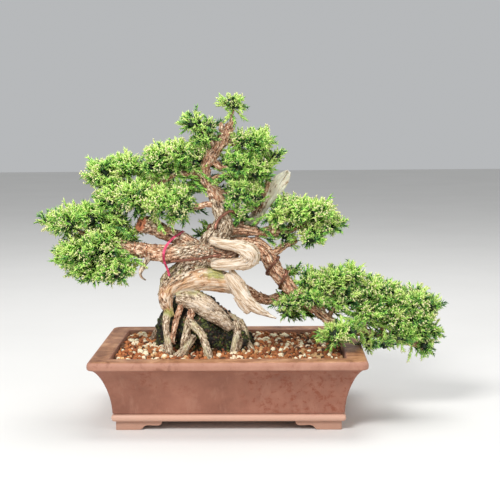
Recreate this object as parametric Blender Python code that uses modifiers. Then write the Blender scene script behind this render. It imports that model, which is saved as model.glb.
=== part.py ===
"""Shimpaku juniper bonsai in a long rectangular clay pot.

Lengths below are in millimetres and are scaled to metres when a mesh is made. The model is laid out
round the middle of the pot, X to the right, Y away from the viewer and Z up from the surface the pot
stands on. The last step moves everything so that the origin is under the middle of the whole tree.
"""

import math
import random

import bmesh
import bpy
from mathutils import Matrix, Vector, noise
from mathutils.bvhtree import BVHTree
from mathutils.kdtree import KDTree

MM = 0.001
CLEARANCE = 0.3  # between pieces that touch
CUT_CLEARANCE = 0.6  # round wood that passes through soil, moss or foliage
UNTANGLE_PASSES = 12

# Pot
RIM_LENGTH, RIM_DEPTH, POT_HEIGHT = 300.0, 208.0, 80.4
RIM_CORNER = 9.0
RIM_LAND = 22.5
LIP_HEIGHT, LIP_ROUND = 9.0, 1.8
WALL_INSET = 23.8
CAVETTO_POWER = 1.7
BAND_TOP, BAND_BOTTOM, BAND_INSET = 18.0, 10.2, 22.6
FLOOR_TOP = 17.5
CAVITY = ((22.5, POT_HEIGHT - 1.2), (24.0, 62.0), (29.0, 42.0), (31.5, FLOOR_TOP))
FOOT_INSET, FOOT_THICKNESS = 27.2, 11.0
FOOT_LENGTH_FRONT, FOOT_LENGTH_SIDE = 50.0, 40.0
DRAIN_X, DRAIN_RADIUS = 58.0, 10.0
DRAIN_SIDES, DRAIN_DEPTH = 20, 20.0  # of the boring tool, which is deeper than the floor

# Drain screens and their clips
SCREEN_SIDE, SCREEN_THICKNESS = 31.0, 1.4
SCREEN_HOLES, SCREEN_PITCH, SCREEN_BAR = 3, 9.6, 1.8
CLIP_RADIUS, CLIP_HALF, CLIP_REACH = 0.6, 7.2, 17.0

# Wood surface
WOOD_VOXEL = 1.3
WOOD_TRIANGLES = 3600
SAIL_FLATTENED = 0.55  # of the plank's round thickness

# Soil and moss
SOIL_EDGE = 75.6
SOIL_CELLS = (17, 11)
GRAIN_HEIGHT = (1.2, 3.0)
MOUND_CENTRE, MOUND_RADII = (-28.0, -8.0, 75.0), (56.0, 36.0, 48.0)
MOUND_UNDERSIDE = 0.2  # of its upper half's height

# Foliage
CORE_SHARE = 0.6  # of a clump's radii
CORE_VOXEL, CORE_FACES = 2.4, 20  # the skin's step, and its triangles for each clump
SPRAY_AREA = 1000.0  # square millimetres of a clump's surface for each spray
SPRAYS_FEWEST = 4  # in a clump
CORD_RADIUS, CORD_TIP = 1.3, 0.6
SPRAY_SPREAD, SHOOT_SHARE = math.radians(42), 0.75
SPRAY_REACH, SPRAY_SHORTEST = 1.06, 6.0  # of a clump's radii, and the least length of a leader
SPRAY_KEEP_OFF, SPRAY_APART = 10.0, 4.5  # between leaders of different pads, and of one pad
STEM_RADIUS = 2.6

# Wires and the tie
WIRE_RADIUS, THIN_WIRE_RADIUS = 1.6, 0.8
WIRE_STEP = math.radians(30)  # of a turn, between two points of a coil
TIE_WIDTH, TIE_THICKNESS = 3.2, 1.1
WIRE_GAP = 0.6  # at the points of a wire, whose straight stretches then clear the bark too
# Each coil: its limb, the limb's points between which it is wound, its turns and its first angle
COILS = {
    "wire_trunk": ("trunk", 6.2, 7.8, 1.3, 200.0),
    "wire_right_branch": ("right_branch", 2.8, 6.2, 2.2, 0.0),
    "wire_left_branch": ("left_branch", 4.4, 6.5, 2.3, 100.0),
}
THIN_COIL = "wire_left_branch"
TIE_SECTION = ((-1.0, 0.0), (-0.75, 1.0), (0.75, 1.0), (1.0, 0.0), (0.75, -1.0), (-0.75, -1.0))
CREVICE_WIRE = (
    (-74, -18, 176), (-70, -30, 177), (-62, -40, 180), (-45, -42, 182), (-32, -42, 183), (-21, -46, 186),
    (-8, -42, 187),
)
TIE_ROUTE = (
    (-50, -3, 203), (-51, -9, 210), (-54, -19, 209), (-60, -30, 206), (-67, -39, 199), (-71, -41, 190),
    (-71, -38, 180), (-68, -33, 171), (-66, -34, 163),
)

# Wood: each limb is a row of centre points with the radius there, x, y, z, r
LIMBS = {
    "arch": (
        (-64, -38, 118, 3.5), (-70, -36, 134, 7.5), (-67, -32, 147, 10), (-57, -30, 153, 11),
        (-43, -30, 157, 12), (-29, -30, 159, 13), (-13, -30, 157, 12.5), (1, -28, 153, 11),
        (10, -24, 147, 8),
    ),
    "trunk": (
        (-74, -28, 139, 6), (-67, -24, 154, 10), (-53, -22, 165, 13), (-36, -20, 174, 15),
        (-24, -18, 187, 16), (-17, -16, 198, 15), (-9, -14, 209, 13), (-5, -13, 221, 10.5),
        (-9, -12, 234, 9.5), (-14, -11, 248, 8.5), (-20, -10, 259, 7.5), (-25, -10, 270, 6.5),
        (-26, -9, 281, 6.2), (-21, -9, 292, 6), (-13, -8, 302, 6), (-7, -8, 312, 5.6),
        (-1, -7, 321, 4.8), (2, -7, 328, 4), (4, -7, 337, 2.2), (6, -7, 346, 1.6),
    ),
    "left_branch": (
        (-25, -20, 186, 14), (-38, -24, 188, 12), (-51, -27, 188, 10.5), (-64, -29, 188, 9.5),
        (-76, -30, 188, 9), (-88, -30, 190, 8.5), (-101, -29, 192, 7.5), (-114, -27, 195, 6),
        (-130, -25, 199, 4.5), (-147, -22, 205, 3.5), (-166, -20, 211, 2.5),
    ),
    "left_fork": (
        (-39, -16, 192, 8), (-50, -15, 201, 7.5), (-63, -13, 205, 7.2), (-77, -13, 212, 7.5),
        (-90, -15, 218, 8), (-102, -18, 223, 8),
    ),
    "loop": (
        (-18, -32, 202, 5.5), (-10, -36, 199, 6.5), (2, -40, 196, 7), (15, -41, 194, 9),
        (24, -40, 187, 10.5), (20, -40, 180, 8.5), (7, -41, 178, 7.5), (-5, -40, 178, 7),
        (-17, -35, 179, 6),
    ),
    "great_jin": (
        (0, -32, 165, 8), (8, -38, 155, 9), (14, -42, 146, 9), (20, -46, 137, 8), (30, -49, 129, 6),
        (41, -51, 123, 3.8), (53, -53, 118, 1.6),
    ),
    "great_jin_prong": ((12, -44, 142, 6), (17, -47, 132, 5.5), (23, -49, 124, 3)),
    "sail_jin": (
        (-8, -6, 192, 8), (4, 2, 199, 8.5), (19, 8, 211, 8.5), (31, 12, 225, 7.5),
        (40, 15, 240, 7.5), (50, 18, 253, 8), (58, 20, 264, 7.5), (64, 22, 272, 5),
        (67, 23, 276, 2.5),
    ),
    "sail_splinter": ((28, 8, 228, 5), (36, 10, 244, 4), (42, 12, 258, 3.4), (47, 13, 271, 1.8)),
    "top_stub": ((-4, -7, 315, 4), (-7, -9, 325, 3.2), (-8, -10, 332, 2)),
    "heartwood": ((-20, -24, 190, 9), (-4, -27, 188, 8.5), (10, -30, 187, 7.5)),
    "stub_jin": (
        (8, -22, 200, 6), (20, -26, 204, 6), (32, -28, 208, 4.5), (42, -28, 206, 1.8),
    ),
    "hook_jin": (
        (-88, -33, 186, 3.2), (-92, -38, 178, 2.6), (-97, -40, 170, 2.2),
        (-96, -41, 163, 1.8), (-91, -41, 159, 1.4),
    ),
    "right_upper": (
        (-6, -10, 210, 7.5), (10, -8, 213, 6), (25, -8, 210, 5), (38, -8, 208, 4.5),
        (53, -9, 209, 4.2), (70, -10, 212, 3.8), (89, -12, 218, 3), (104, -14, 224, 2),
    ),
    "right_branch": (
        (-4, -8, 191, 11), (17, -6, 193, 10), (32, -6, 192, 9), (42, -8, 184, 8.8),
        (48, -10, 173, 8.4), (55, -12, 162, 8.2), (63, -14, 152, 8), (71, -16, 142, 7.6),
        (82, -18, 134, 7), (92, -19, 127, 6.2), (102, -20, 118, 5.5), (113, -20, 109, 5),
        (126, -19, 102, 4.4), (142, -17, 97, 4), (161, -14, 93, 3.6), (181, -10, 87, 3),
        (202, -7, 81, 2.5), (221, -5, 73, 2),
    ),
    "right_lower": (
        (3, -20, 150, 8), (18, -10, 142, 7), (31, -4, 134, 6.2), (43, 0, 130, 5.8),
        (56, 2, 131, 5), (70, 8, 127, 4.2), (84, 14, 122, 3.5), (100, 20, 118, 2.6),
    ),
    "right_spur": (
        (41, -8, 182, 5.5), (52, -8, 186, 4.5), (63, -6, 193, 3.5), (75, -2, 199, 2.8),
    ),
    "mid_left_twig": (
        (-14, -12, 239, 4), (-25, -14, 241, 3.5), (-36, -16, 239, 3), (-52, -18, 240, 2.6),
        (-70, -19, 242, 2.2), (-87, -20, 245, 2), (-106, -20, 248, 1.8),
    ),
    "upper_left_twig": (
        (-22, -8, 276, 5), (-36, -4, 275, 4.5), (-48, -1, 274, 4), (-62, 2, 278, 3.4),
        (-78, 5, 281, 2.8), (-94, 8, 281, 2.2), (-113, 8, 277, 2), (-131, 6, 272, 1.8),
    ),
    "second_left_twig": (
        (-57, 0, 277, 3), (-71, -4, 268, 2.6), (-86, -8, 261, 2.2), (-104, -9, 262, 2),
        (-122, -9, 265, 1.8),
    ),
    "top_left_twig": (
        (-13, -8, 302, 4), (-19, -10, 312, 3.2), (-27, -12, 322, 2.5), (-34, -13, 329, 1.8),
    ),
    "apex_right_twig": (
        (-6, -6, 311, 5), (6, -3, 309, 4), (20, 0, 307, 3), (33, 2, 303, 2.4), (44, 2, 294, 1.8),
    ),
    "mid_right_twig": (
        (-19, -8, 290, 4), (-7, -6, 281, 3), (5, -3, 281, 2.4), (17, 0, 276, 2), (31, 3, 269, 1.8),
    ),
    "low_right_twig": (
        (-13, -10, 254, 5), (0, -6, 252, 3.5), (12, -3, 247, 2.8), (26, 0, 240, 2.2),
    ),
    "back_left_twig": (
        (-17, -8, 257, 5), (-30, 14, 262, 4), (-50, 36, 258, 3), (-70, 54, 250, 2.4),
        (-90, 57, 254, 2),
    ),
    "back_right_twig": (
        (-18, -8, 266, 5), (-6, 16, 270, 4), (10, 38, 272, 3), (26, 54, 266, 2.4), (36, 58, 250, 2),
    ),
    "back_low_twig": (
        (36, -8, 208, 4), (50, 14, 213, 3), (66, 36, 222, 2.4), (90, 47, 220, 2),
    ),
    "back_high_twig": ((-20, -8, 290, 4), (-25, 14, 296, 3), (-29, 36, 299, 2.2)),
    "crown": (
        (-52, -31, 138, 10), (-38, -32, 132, 10.5), (-24, -33, 124, 10.5),
        (-12, -33, 116, 10), (-3, -33, 110, 8.5),
    ),
    "crown_back": (
        (-56, -16, 131, 10), (-40, -12, 120, 13), (-21, -8, 111, 13), (-2, -8, 106, 10),
        (10, -10, 103, 7.5),
    ),
    "root_left": (
        (-68, -38, 121, 4.6), (-70, -42, 111, 4.2), (-69, -45, 98, 4), (-67, -47, 86, 4),
        (-65, -48, 74, 4), (-64, -48, 64, 3),
    ),
    "root_fork_right": (
        (-45, -40, 114, 5), (-38, -46, 109, 4.8), (-30, -54, 102, 4.6), (-26, -60, 92, 4.6),
        (-21, -65, 78, 4.6), (-19, -66, 66, 3.6),
    ),
    "root_fork_left": (
        (-44, -40, 112, 5), (-47, -46, 100, 4.2), (-49, -50, 91, 3.8), (-48, -50, 76, 3.8),
        (-47, -49, 65, 3),
    ),
    "root_cross": (
        (-40, -42, 97, 4.6), (-45, -49, 88, 4.6), (-51, -54, 81, 4.6), (-58, -56, 73, 4.4),
        (-62, -56, 66, 3.2),
    ),
    "root_right": (
        (9, -14, 108, 6.5), (15, -18, 98, 5.5), (18, -22, 87, 5), (24, -26, 76, 5),
        (28, -28, 65, 3.6),
    ),
    "root_right_front": (
        (6, -24, 109, 5), (9, -32, 98, 4), (7, -40, 90, 4), (5, -44, 77, 4), (4, -45, 66, 3),
    ),
    "root_right_cross": (
        (14, -26, 91, 4.4), (9, -37, 83, 4.4), (4, -45, 75, 4.2), (0, -49, 67, 3),
    ),
    "root_red_left": (
        (-53, -33, 131, 4), (-58, -38, 116, 3), (-61, -42, 104, 3), (-63, -43, 90, 3),
    ),
    "root_red_mid": ((-41, -35, 127, 4), (-44, -41, 113, 4)),
    "root_back_left": (
        (-58, -8, 127, 8), (-72, 10, 110, 6), (-84, 26, 92, 5), (-92, 36, 79, 4.5),
        (-97, 41, 66, 3.4),
    ),
    "root_back_mid": (
        (-35, 4, 115, 9), (-40, 24, 98, 6), (-44, 38, 83, 5), (-47, 46, 67, 3.6),
    ),
    "root_back_right": (
        (-5, 2, 109, 8), (6, 20, 98, 5.5), (16, 32, 86, 4.5), (24, 40, 68, 3.2),
    ),
}

# Foliage pads: each clump is a centre and the three radii it reaches, x, y, z, rx, ry, rz
PADS = {
    "pad_left_low": (
        (-180, -22, 222, 21, 27, 15), (-154, -14, 227, 22, 30, 14),
        (-169, -26, 189, 23, 32, 18), (-140, -18, 196, 24, 35, 20),
        (-116, -8, 202, 14, 24, 16), (-124, -30, 169, 21, 27, 15),
        (-156, -20, 168, 22, 26, 14), (-203, -22, 224, 8, 8, 4), (-128, -4, 218, 16, 26, 13),
    ),
    "pad_left_mid": (
        (-128, -22, 246, 19, 30, 14), (-103, -20, 249, 21, 32, 17),
        (-76, -22, 244, 19, 30, 18), (-53, -20, 240, 18, 25, 19),
    ),
    "pad_left_high": (
        (-140, -4, 275, 19, 28, 17), (-113, 4, 282, 17, 27, 14), (-126, -8, 263, 16, 22, 8),
    ),
    "pad_upper_left": (
        (-77, 4, 292, 18, 30, 14), (-54, 2, 296, 18, 30, 15), (-37, 0, 290, 13, 24, 16),
        (-65, 6, 276, 18, 22, 10), (-89, 0, 280, 12, 22, 10),
    ),
    "pad_top_left": (
        (-38, -14, 332, 14, 19, 12), (-21, -12, 327, 13, 18, 10), (-25, -14, 315, 14, 18, 9),
    ),
    "pad_apex": ((4, -7, 354, 17, 15, 8), (9, -7, 349, 9, 11, 6)),
    "pad_right_high": (
        (17, -2, 311, 16, 22, 11), (35, 0, 307, 15, 24, 16), (14, -4, 285, 17, 22, 13),
        (33, 2, 277, 17, 24, 16), (53, 2, 293, 10, 12, 9), (12, -8, 255, 15, 22, 16),
        (30, 2, 246, 15, 22, 17), (15, -6, 226, 14, 18, 11),
    ),
    "pad_right_mid": (
        (54, -14, 230, 15, 24, 16), (76, -12, 231, 18, 30, 17), (100, -14, 230, 18, 30, 17),
        (115, -14, 218, 12, 20, 12), (93, -16, 205, 16, 22, 13), (62, -6, 206, 12, 18, 11),
    ),
    "pad_cascade_upper": (
        (72, 6, 162, 10, 12, 9), (91, -6, 149, 16, 24, 16), (116, -8, 152, 19, 30, 17),
        (137, -10, 157, 11, 22, 15), (97, -26, 133, 20, 18, 9), (128, -8, 134, 19, 26, 14),
        (65, -24, 130, 15, 16, 7),
    ),
    "pad_cascade_far": (
        (160, -10, 142, 17, 27, 14), (184, -8, 135, 18, 27, 15), (210, -6, 130, 16, 22, 14),
        (229, -4, 124, 11, 17, 15), (156, -14, 118, 20, 27, 13), (186, -10, 111, 20, 30, 16),
        (213, -6, 106, 18, 24, 16), (221, -4, 80, 12, 17, 17), (193, -12, 90, 18, 22, 11),
        (231, -2, 96, 10, 16, 10),
    ),
    "pad_cascade_front": ((119, -46, 98, 19, 22, 14), (136, -40, 101, 11, 16, 10)),
    "pad_cascade_tail": ((157, -16, 82, 9, 12, 12), (174, -28, 84, 9, 12, 9)),
    "pad_low_back": ((68, 16, 112, 16, 19, 10), (87, 24, 114, 12, 16, 10)),
    "pad_trunk_tuft": ((-30, 4, 205, 8, 9, 7),),
    "pad_back_left": ((-93, 56, 255, 20, 27, 17), (-68, 60, 249, 17, 24, 14)),
    "pad_back_right": ((23, 56, 269, 18, 24, 18), (37, 58, 245, 14, 22, 13)),
    "pad_back_low": ((70, 46, 230, 16, 22, 14), (92, 48, 221, 17, 24, 14)),
    "pad_back_high": ((-29, 44, 300, 15, 22, 15),),
}

# Names of the limbs that carry foliage, from which a clump's own twig grows
CARRIERS = (
    "trunk", "left_branch", "right_upper", "right_branch", "right_lower", "right_spur", "mid_left_twig",
    "upper_left_twig", "second_left_twig", "top_left_twig", "apex_right_twig", "mid_right_twig",
    "low_right_twig", "back_left_twig", "back_right_twig", "back_low_twig",
    "back_high_twig",
)


def clear_scene():
    for thing in list(bpy.data.objects):
        bpy.data.objects.remove(thing, do_unlink=True)


def collection(name):
    made = bpy.data.collections.new(name)
    bpy.context.scene.collection.children.link(made)
    return made


def cutter_group():
    """The collection of every hidden cutter and guide."""
    return bpy.data.collections["Cutters"]


def material(name, colour, roughness, metallic=0.0):
    made = bpy.data.materials.new(name)
    made.use_nodes = True
    shader = made.node_tree.nodes["Principled BSDF"]
    shader.inputs["Base Color"].default_value = (*colour, 1.0)
    shader.inputs["Roughness"].default_value = roughness
    shader.inputs["Metallic"].default_value = metallic
    made.diffuse_color = (*colour, 1.0)
    return made


def place(mesh_or_curve, name, group, finish=None):
    made = bpy.data.objects.new(name, mesh_or_curve)
    group.objects.link(made)
    if finish is not None:
        mesh_or_curve.materials.append(finish)
    return made


def object_from_bmesh(shape, name, group, finish=None):
    mesh = bpy.data.meshes.new(name)
    shape.to_mesh(mesh)
    shape.free()
    return place(mesh, name, group, finish)


def bake_modifiers(thing):
    """Gives the object its evaluated mesh, so that the next step starts from plain faces."""
    bpy.context.view_layer.update()
    graph = bpy.context.evaluated_depsgraph_get()
    baked = bpy.data.meshes.new_from_object(thing.evaluated_get(graph))
    finish = list(thing.data.materials)
    thing.modifiers.clear()
    thing.data = baked
    baked.materials.clear()
    for one in finish:
        baked.materials.append(one)


def boolean(thing, operation, other=None, group=None, solver="EXACT"):
    cut = thing.modifiers.new(operation.title(), "BOOLEAN")
    cut.operation = operation
    cut.solver = solver
    if group is None:
        cut.object = other
    else:
        cut.operand_type = "COLLECTION"
        cut.collection = group


def empty_collection(group):
    for piece in list(group.objects):
        bpy.data.objects.remove(piece, do_unlink=True)
    bpy.data.collections.remove(group)


def make_cutter(thing):
    thing.hide_render = True
    thing.display_type = "WIRE"
    return thing


def keep_largest(thing):
    """Drops loose scraps that a cut has left."""
    shape = bmesh.new()
    shape.from_mesh(thing.data)
    left = set(shape.verts)
    islands = []
    while left:
        front = [left.pop()]
        island = set(front)
        while front:
            for edge in front.pop().link_edges:
                for vert in edge.verts:
                    if vert in left:
                        left.discard(vert)
                        island.add(vert)
                        front.append(vert)
        islands.append(island)
    islands.sort(key=len)
    scraps = [vert for island in islands[:-1] for vert in island]
    bmesh.ops.delete(shape, geom=scraps, context="VERTS")
    shape.to_mesh(thing.data)
    shape.free()


def untangle(thing):
    """Relaxes the corners of faces that cross each other, until none does."""
    shape = bmesh.new()
    shape.from_mesh(thing.data)
    bmesh.ops.triangulate(shape, faces=shape.faces)
    for _ in range(UNTANGLE_PASSES):
        shape.faces.ensure_lookup_table()
        tree = BVHTree.FromBMesh(shape)
        corners = [set(face.verts) for face in shape.faces]
        pairs = [(a, b) for a, b in tree.overlap(tree) if not corners[a] & corners[b]]
        if not pairs:
            break
        loose = {vert for pair in pairs for index in pair for vert in corners[index]}
        ordered = sorted(loose, key=lambda vert: vert.index)
        bmesh.ops.smooth_vert(
            shape, verts=ordered, factor=0.5, use_axis_x=True, use_axis_y=True, use_axis_z=True
        )
    shape.to_mesh(thing.data)
    shape.free()


def seat(thing, cutters):
    """Cuts a clear way for the wood through the piece, and keeps the piece's one main body."""
    for cutter in cutters:
        boolean(thing, "DIFFERENCE", cutter, solver="MANIFOLD")
        bake_modifiers(thing)
    keep_largest(thing)


def box_cutter(name, middle, size, group):
    box = bmesh.new()
    bmesh.ops.create_cube(box, size=MM)
    bmesh.ops.scale(box, verts=box.verts, vec=size)
    bmesh.ops.translate(box, verts=box.verts, vec=Vector(middle) * MM)
    return make_cutter(object_from_bmesh(box, name, group))


# Pot

def rounded_rectangle(shape, half_x, half_y, radius, z, steps=3):
    """A ring of vertices, anticlockwise from +X, with quarter circles at its corners."""
    verts = []
    for quarter, (sx, sy) in enumerate(((1, 1), (-1, 1), (-1, -1), (1, -1))):
        for step in range(steps + 1):
            angle = math.radians(90) * (quarter + step / steps)
            x = sx * (half_x - radius) + radius * math.cos(angle)
            y = sy * (half_y - radius) + radius * math.sin(angle)
            verts.append(shape.verts.new((x * MM, y * MM, z * MM)))
    return verts


def rim_ring(shape, inset, z):
    """A ring that lies this far inside the rim's outline."""
    radius = max(RIM_CORNER - inset * 0.35, 3.0)
    return rounded_rectangle(shape, RIM_LENGTH / 2 - inset, RIM_DEPTH / 2 - inset, radius, z)


def outer_profile():
    """Inset and height from the underside up to the rim's outer edge."""
    rows = [(BAND_INSET + 1.6, BAND_BOTTOM), (BAND_INSET, BAND_BOTTOM + 1.2), (BAND_INSET, BAND_TOP - 1.8)]
    rows += [(WALL_INSET + 0.6, BAND_TOP)]
    bottom, top = BAND_TOP + 1.6, POT_HEIGHT - LIP_HEIGHT
    for step in range(6):
        share = math.sin(math.radians(90) * (5 - step) / 5)
        rise = (1 - share**CAVETTO_POWER) ** (1 / CAVETTO_POWER)
        rows.append((0.8 + (WALL_INSET - 0.8) * share, bottom + (top - bottom) * rise))
    rows += [(0.0, top + 0.9), (0.0, POT_HEIGHT - LIP_ROUND), (LIP_ROUND, POT_HEIGHT)]
    return rows


def loft(shape, rings):
    """Skins a row of rings that have the same number of vertices, and closes both ends."""
    for below, above in zip(rings, rings[1:]):
        for index in range(len(below)):
            after = (index + 1) % len(below)
            shape.faces.new((below[index], below[after], above[after], above[index]))
    shape.faces.new(rings[0])
    shape.faces.new(rings[-1])
    bmesh.ops.recalc_face_normals(shape, faces=shape.faces)


def foot_outline(length):
    """Height of the foot's lower edge along the pot's side: flat near the corner, then a cloud scroll."""
    flat = length * 0.48
    return (
        (0.0, BAND_BOTTOM + 2.0), (0.0, 0.0), (flat, 0.0), (flat + 3.5, 0.8), (flat + 6.5, 3.4),
        (flat + 10.0, 5.0), (length - 5.0, 4.8), (length - 1.2, 6.4), (length, BAND_BOTTOM + 2.0),
    )


def foot_plate(name, group, length, along_x, sign_x, sign_y):
    """One arm of a corner foot: its outline raised into a plate, seen from the front or from the side."""
    shape = bmesh.new()
    verts = [shape.verts.new((u * MM, 0.0, z * MM)) for u, z in foot_outline(length)]
    face = shape.faces.new(verts)
    raised = bmesh.ops.extrude_face_region(shape, geom=[face])
    moved = [v for v in raised["geom"] if isinstance(v, bmesh.types.BMVert)]
    bmesh.ops.translate(shape, verts=moved, vec=(0.0, FOOT_THICKNESS * MM, 0.0))
    if not along_x:
        bmesh.ops.rotate(shape, verts=shape.verts, matrix=Matrix.Rotation(math.radians(90), 3, "Z"))
        bmesh.ops.scale(shape, verts=shape.verts, vec=(-1.0, 1.0, 1.0))
    bmesh.ops.translate(
        shape,
        verts=shape.verts,
        vec=((FOOT_INSET - RIM_LENGTH / 2) * MM, (FOOT_INSET - RIM_DEPTH / 2) * MM, 0.0),
    )
    bmesh.ops.scale(shape, verts=shape.verts, vec=(-sign_x, -sign_y, 1.0))
    bmesh.ops.recalc_face_normals(shape, faces=shape.faces)
    return object_from_bmesh(shape, name, group)


def make_pot(group, finish):
    shape = bmesh.new()
    rings = [rim_ring(shape, inset, z) for inset, z in outer_profile()]
    rings.append(rim_ring(shape, RIM_LAND - 1.2, POT_HEIGHT))
    rings += [rim_ring(shape, inset, z) for inset, z in CAVITY]
    loft(shape, rings)
    pot = object_from_bmesh(shape, "pot", group, finish)

    feet = collection("Feet to join")
    for sign_x in (-1, 1):
        for sign_y in (-1, 1):
            foot_plate("foot_front", feet, FOOT_LENGTH_FRONT, True, sign_x, sign_y)
            foot_plate("foot_side", feet, FOOT_LENGTH_SIDE, False, sign_x, sign_y)
    boolean(pot, "UNION", group=feet)
    bake_modifiers(pot)
    empty_collection(feet)

    for sign in (-1, 1):
        bore = bmesh.new()
        radius = DRAIN_RADIUS * MM
        bmesh.ops.create_cone(
            bore, cap_ends=True, segments=DRAIN_SIDES,
            radius1=radius, radius2=radius, depth=DRAIN_DEPTH * MM,
        )
        bmesh.ops.translate(bore, verts=bore.verts, vec=(sign * DRAIN_X * MM, 0.0, (BAND_BOTTOM + 3) * MM))
        cutter = object_from_bmesh(bore, "drain_bore", cutter_group())
        make_cutter(cutter)
        boolean(pot, "DIFFERENCE", cutter)
        bake_modifiers(pot)
    return pot


# Drain screens and clips

def make_screen(name, group, finish, x):
    """A square plastic plate with rows of square holes."""
    z = FLOOR_TOP + CLEARANCE + SCREEN_THICKNESS / 2
    plate = bmesh.new()
    bmesh.ops.create_cube(plate, size=MM)
    bmesh.ops.scale(plate, verts=plate.verts, vec=(SCREEN_SIDE, SCREEN_SIDE, SCREEN_THICKNESS))
    bmesh.ops.translate(plate, verts=plate.verts, vec=Vector((x, 0.0, z)) * MM)
    screen = object_from_bmesh(plate, name, group, finish)
    holes = collection("Screen holes")
    hole = SCREEN_PITCH - SCREEN_BAR
    reach = (SCREEN_HOLES - 1) / 2
    for row in range(SCREEN_HOLES):
        for column in range(SCREEN_HOLES):
            middle = (x + (row - reach) * SCREEN_PITCH, (column - reach) * SCREEN_PITCH, z)
            box_cutter("screen_hole", middle, (hole, hole, 3 * SCREEN_THICKNESS), holes)
    boolean(screen, "DIFFERENCE", group=holes)
    bake_modifiers(screen)
    empty_collection(holes)
    return screen


def make_clip(name, group, finish, x):
    """A wire staple over the screen's middle bar, with its legs bent out under the pot's floor."""
    low = BAND_BOTTOM - CLEARANCE - CLIP_RADIUS
    high = FLOOR_TOP + SCREEN_THICKNESS + 2 * CLEARANCE + CLIP_RADIUS
    route = [
        (-CLIP_REACH, low), (-CLIP_HALF - 1, low), (-CLIP_HALF, low + 1), (-CLIP_HALF, high - 1),
        (-CLIP_HALF + 1, high), (CLIP_HALF - 1, high), (CLIP_HALF, high - 1), (CLIP_HALF, low + 1),
        (CLIP_HALF + 1, low), (CLIP_REACH, low),
    ]
    return tube(name, group, finish, [(x + u, 0.0, z) for u, z in route], CLIP_RADIUS, sides=0)


def tube(name, group, finish, route, radius, sides=2, radii=None):
    """A wire along its route, with closed ends."""
    curve = bpy.data.curves.new(name, "CURVE")
    curve.dimensions = "3D"
    curve.bevel_depth = radius * MM
    curve.bevel_resolution = sides
    curve.use_fill_caps = True
    spline = curve.splines.new("POLY")
    spline.points.add(len(route) - 1)
    for index, point in enumerate(route):
        spline.points[index].co = (*(Vector(point) * MM), 1.0)
        spline.points[index].radius = 1.0 if radii is None else radii[index] / radius
    return place(curve, name, group, finish)


def mesh_of_curve(curve_object, group):
    """The curve as a mesh with its caps welded; the curve is removed."""
    bpy.context.view_layer.update()
    graph = bpy.context.evaluated_depsgraph_get()
    mesh = bpy.data.meshes.new_from_object(curve_object.evaluated_get(graph))
    shape = bmesh.new()
    shape.from_mesh(mesh)
    bmesh.ops.remove_doubles(shape, verts=shape.verts, dist=0.00001)
    bmesh.ops.recalc_face_normals(shape, faces=shape.faces)
    shape.to_mesh(mesh)
    shape.free()
    name = curve_object.name
    old = curve_object.data
    bpy.data.objects.remove(curve_object, do_unlink=True)
    bpy.data.curves.remove(old)
    mesh.name = name
    return place(mesh, name, group)


# Wood

def smooth_route(points, steps):
    """Points with radii along a Catmull-Rom curve through a limb's own points."""
    rows = [Vector(p) if len(p) == 4 else Vector((*p, 0.0)) for p in points]
    ends = [2 * rows[0] - rows[1], *rows, 2 * rows[-1] - rows[-2]]
    route = []
    for a, b, c, d in zip(ends, ends[1:], ends[2:], ends[3:]):
        for step in range(steps):
            t = step / steps
            bend = (2 * a - 5 * b + 4 * c - d) * t * t + (3 * b - a - 3 * c + d) * t**3
            route.append(b + 0.5 * ((c - a) * t + bend))
    route.append(rows[-1])
    return route


def clump_twigs():
    """A twig from the nearest carrying limb into each clump that no limb reaches."""
    carriers = [point for name in CARRIERS for point in smooth_route(LIMBS[name], 4)]
    twigs = []
    for clumps in PADS.values():
        for x, y, z, rx, ry, rz in clumps:
            middle = Vector((x, y, z))
            nearest = min(carriers, key=lambda p: (p.to_3d() - middle).length)
            start = nearest.to_3d()
            away = (middle - start).length
            if away < 0.35 * min(rx, rz):
                continue
            reach = min(nearest[3] * 0.8, 3.0)
            bend = start.lerp(middle, 0.5) + Vector((0.0, 0.0, away * 0.12))
            twigs.append(((*start, reach), (*bend, max(reach * 0.75, 1.6)), (*middle, 1.5)))
    return twigs


def limb_mesh(points, group, steps=3):
    route = smooth_route(points, steps)
    widest = max(p[3] for p in route)
    limb = tube("limb", group, None, [p[:3] for p in route], widest, sides=3, radii=[p[3] for p in route])
    return mesh_of_curve(limb, group)


def flatten_sail(limb):
    """The sail is a plank: it is thin across the direction it faces, and widest near its top."""
    middle = Vector((40, 15, 240)) * MM
    across = Vector((0.19, 0.91, -0.37)).normalized()
    for vert in limb.data.vertices:
        depth = (vert.co - middle).dot(across)
        spine = across * depth
        vert.co -= spine * SAIL_FLATTENED


def make_wood(group, finish):
    """All limbs as overlapping tubes, skinned into one body, roughened with grain and thinned."""
    limbs = collection("Limbs to join")
    for name, points in LIMBS.items():
        limb = limb_mesh(points, limbs)
        if name == "sail_jin":
            flatten_sail(limb)
    for points in clump_twigs():
        limb_mesh(points, limbs)
    shape = bmesh.new()
    for limb in limbs.objects:
        shape.from_mesh(limb.data)
    empty_collection(limbs)
    wood = object_from_bmesh(shape, "wood", group, finish)

    skin = wood.modifiers.new("Skin", "REMESH")
    skin.mode = "VOXEL"
    skin.voxel_size = WOOD_VOXEL * MM
    bake_modifiers(wood)
    gnarl(wood)
    thin = wood.modifiers.new("Thin", "DECIMATE")
    thin.ratio = min(1.0, WOOD_TRIANGLES / (2 * len(wood.data.polygons)))
    thin.use_collapse_triangulate = True
    bake_modifiers(wood)
    keep_largest(wood)
    untangle(wood)
    return wood


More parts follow.
